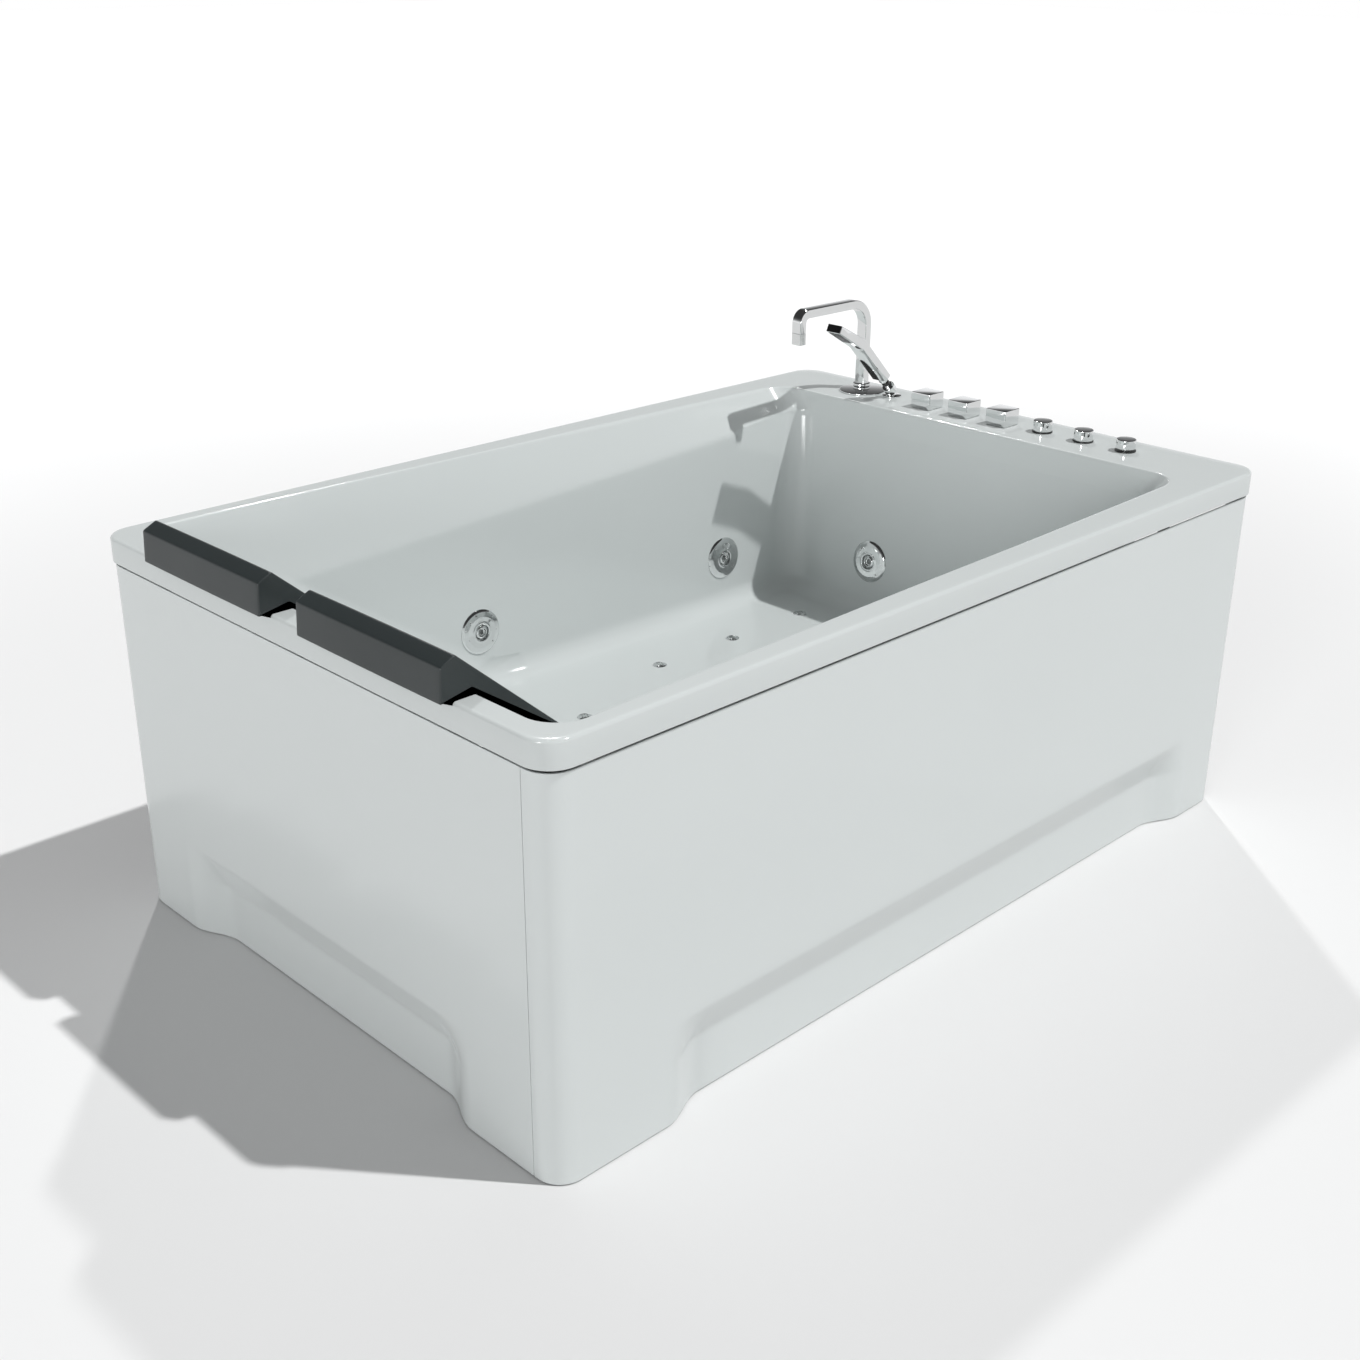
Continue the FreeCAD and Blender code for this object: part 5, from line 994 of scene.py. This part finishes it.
def floorPieces():
    # air jet caps whose six small holes are painted on as black discs of shade, the drain's flange, and its domed plug
    f = floorFittings
    floor = f["floor"]
    caps, holeShades = [], []
    spots = [(f["start"] + f["spacing"] * n, f["side"] * side) for side in (-1, 1) for n in range(3)]
    spots += [(f["head"][0], f["head"][1] * side) for side in (-1, 1)]
    radius, high = f["cap"]
    for x, y in spots:
        caps.append(turned([
            (0.0004, high), (radius * 0.55, high), (radius * 0.66, high * 0.6), (radius * 0.78, high * 0.9),
            (radius, 0.0012), (radius, 0), (f["stem"], 0), (f["stem"], f["stemLow"]), (0.0004, f["stemLow"])],
            0.0008, 40, (x, y, floor)))
        # the holes are not cut: six black discs on each cap stand in for their dark insides, as painted shade
        for number in range(6):
            angle = number * math.pi / 3
            holeShades.append(moved(revolved([(0.0011, 0), (0.0011, 0.0004)], 10), (
                x + math.cos(angle) * radius * 0.4, y + math.sin(angle) * radius * 0.4, floor + high - 0.0002)))
    makePiece("floorAirCaps", caps, "chrome", "tub", "floor_air_jets", 32)
    makePiece("floorAirHoleShades", holeShades, "blackPlastic", "tub")
    bore, (radius, high) = f["bore"], f["flange"]
    flange = turned([(bore, -0.070), (bore, high * 0.2), (0.024, high * 0.75), (0.028, high),
        (radius - 0.003, high * 0.9), (radius, 0.0005), (radius, 0), (0.022, -0.0002), (0.022, -0.086),
        (bore, -0.086)], 0.001, 64, (f["drain"], 0, floor), True)
    makePiece("drainFlange", [flange], "chrome", "tub", "drain_flange", 32)
    low = floor + high
    radius, high = f["plug"]
    plug = turned([(0.001, -0.031), (0.005, -0.031), (0.005, -0.002), (0.016, -0.001), (0.017, 0.0004),
        (radius, 0.0004), (radius, 0.0025), (radius * 0.7, high * 0.93), (0.001, high)], 0.0016, 64,
        (f["drain"], 0, low))
    makePiece("drainPlug", [plug], "chrome", "drain_plug", "drain_plug", 32)


def onNearWall(part, x, z):
    y, normal = farWall(x, z)
    return seated(part, (x, -y, z), normal * np.array([1, -1, 1]))


def overflowPieces():
    # a thin round plate and a grip with finger flats, on the near wall over the drain
    plate = turned([(0.015, -0.0053), (0.031, -0.0053), (0.035, -0.0025), (0.035, -0.0003), (0.0185, -0.0002),
        (0.0185, 0.060), (0.015, 0.060)], 0.001, 64, closed=True)
    makePiece("overflowPlate", [onNearWall(plate, *shell["overflow"])], "chrome", "tub", "overflow_plate", 32)
    angle = np.linspace(0, 2 * math.pi, 96, endpoint=False)
    lobes = 0.05 * np.cos(angle * 8) ** 2
    rows = []
    for radius, height, depth in (
            (0.012, -0.0195, 0), (0.0215, -0.0195, 0.2), (0.0236, -0.0175, 1), (0.0236, -0.009, 1),
            (0.0215, -0.0063, 0.3), (0.0125, -0.0061, 0), (0.0125, 0.045, 0), (0.002, 0.046, 0)):
        reach = radius * (1 - lobes * depth)
        rows.append(np.stack([reach * np.cos(angle), reach * np.sin(angle), np.full(96, height)], -1))
    makePiece("overflowGrip", [onNearWall(gridSolid(np.array(rows)), *shell["overflow"])], "chrome", "overflow_knob",
        "overflow_knob", 32)


def suctionPieces():
    # a domed guard whose slots, which let the pump draw water, are painted on as thin black strips of shade
    guard = turned([(0.0005, -0.010), (0.034, -0.010), (0.046, -0.0065), (0.050, -0.003), (0.050, -0.0003),
        (0.0005, -0.0003)], 0.004, 72)
    makePiece("suctionGuard", [onNearWall(guard, *shell["suction"])], "chrome", "tub", "suction_cover", 32)
    slotShades = []
    # the slots are not cut: thin black strips on the guard's face stand in for their dark openings, as painted shade
    for number in range(-2, 3):
        long, across = 0.022 - abs(number) * 0.003, number * 0.010
        slotShade = softBlock((across - 0.002, -long, -0.0102), (across + 0.002, long, -0.0096), 0.0019, 0.0001)
        slotShades.append(onNearWall(slotShade, *shell["suction"]))
    makePiece("suctionSlotShades", slotShades, "blackPlastic", "tub")


floorPieces()
overflowPieces()
suctionPieces()
print("floor fittings made")


# what is left of the CAD nodes keeps its shape and gets its finish

nodeFinish = {
    "levelling_feet": "steel", "mixer_body": "brass", "air_valve_bodies": "pipe", "button_bellows": "housing",
    "jet_bodies": "pipe", "air_ring": "pipe", "blower": "housing", "floor_air_manifold": "pipe",
    "pump_wet_end": "housing", "pump_motor": "motor", "water_ring": "pipe", "suction_line": "pipe",
    "control_box": "housing", "waste_pipe": "pipe",
}
for node, name in nodeFinish.items():
    dressedCopy(node, name, sharp=35)


# floor, light and camera

def studioFloor():
    # a wide pale floor; the camera sees it a little whiter than it lights the tub
    size = 40
    corners = [(size * x, size * y, 0) for x, y in ((-1, -1), (1, -1), (1, 1), (-1, 1))]
    floor = newObject("studioFloor", newMesh("studioFloor", corners, [(0, 1, 2, 3)]))
    material, tree, shader = newMaterial("paleFloor")
    away = put(tree, "VectorMath", {0: place(tree)}, operation="LENGTH")["Value"]
    fade = put(tree, "MapRange", {"From Min": 1.7, "From Max": 5.0, "To Min": 0.80, "To Max": 0.99, "Value": away},
        interpolation_type="SMOOTHSTEP")["Result"]
    seen = put(tree, "LightPath")["Is Camera Ray"]
    wire(tree, shader, {"Roughness": 0.9, "Specular IOR Level": 0.0,
        "Base Color": mixed(tree, seen, (0.72, 0.72, 0.72, 1), fade)})
    floor.data.materials.append(material)


def studioWorld():
    # white behind everything; glossy rays see a studio that darkens overhead
    world = bpy.data.worlds.new("studio")
    bpy.context.scene.world = world
    world.use_nodes = True
    tree = world.node_tree
    height = put(tree, "SeparateXYZ", {0: put(tree, "TexCoord")["Generated"]})["Z"]

    def ramp(stops):
        node = tree.nodes.new("ShaderNodeValToRGB")
        node.color_ramp.interpolation = "B_SPLINE"
        elements = node.color_ramp.elements
        for number, (level, tone) in enumerate(stops):
            element = elements[number] if number < 2 else elements.new(level)
            element.position = level
            element.color = (tone, tone * 1.01, tone * 1.02, 1)
        tree.links.new(height, node.inputs[0])
        return node.outputs["Color"]

    soft = ramp([(0.0, 0.46), (1.0, 0.19), (0.3, 0.35)])
    studio = ramp([(0.0, 1.0), (1.0, 0.05), (0.12, 0.76), (0.22, 0.22), (0.34, 0.10), (0.50, 0.03)])
    path = put(tree, "LightPath")
    shiny = put(tree, "Math", {0: path["Is Glossy Ray"], 1: path["Is Transmission Ray"]}, operation="MAXIMUM")[0]
    seen = mixed(tree, path["Is Camera Ray"], mixed(tree, shiny, soft, studio), (1, 1, 1, 1))
    wire(tree, tree.nodes["Background"], {"Color": seen})


lamps = {
    # way the light travels, strength, angular size in degrees
    "mainLamp": ((-0.285, 0.343, -0.725), 2.27, 1.2),
    "backLamp": ((-0.533, -0.640, -0.725), 0.80, 2.0),
    "fillLamp": ((0.90, 0.28, -0.13), 1.0, 16.0),
}


def studioLamps():
    for name, (travel, strength, spread) in lamps.items():
        light = bpy.data.lights.new(name, "SUN")
        light.energy = strength
        light.angle = math.radians(spread)
        lamp = newObject(name, light)
        lamp.rotation_mode = "QUATERNION"
        lamp.rotation_quaternion = Vector(travel).to_track_quat("-Z", "Y")


camera = {
    "spot": (-2.19576, -2.15134, 1.68264), "forward": (0.643645, 0.655397, -0.395191), "roll": 0.0062,
    "lens": 45.65, "sensor": 36, "far": 200,
}


def studioCamera():
    # a camera at the photograph's place, looking the same way
    forward = unit(camera["forward"])
    level = unit(np.cross(forward, (0, 0, 1)))
    right = level * math.cos(camera["roll"]) + np.cross(level, forward) * math.sin(camera["roll"])
    up = np.cross(right, forward)
    data = bpy.data.cameras.new("photoCamera")
    data.lens, data.sensor_width, data.clip_end = camera["lens"], camera["sensor"], camera["far"]
    view = newObject("photoCamera", data)
    turn = Matrix((right.tolist(), up.tolist(), (-forward).tolist())).transposed()
    view.matrix_world = Matrix.Translation(camera["spot"]) @ turn.to_4x4()
    bpy.context.scene.camera = view


studioFloor()
studioWorld()
studioLamps()
studioCamera()
bpy.context.scene.view_settings.view_transform = "Standard"
print("studio made")
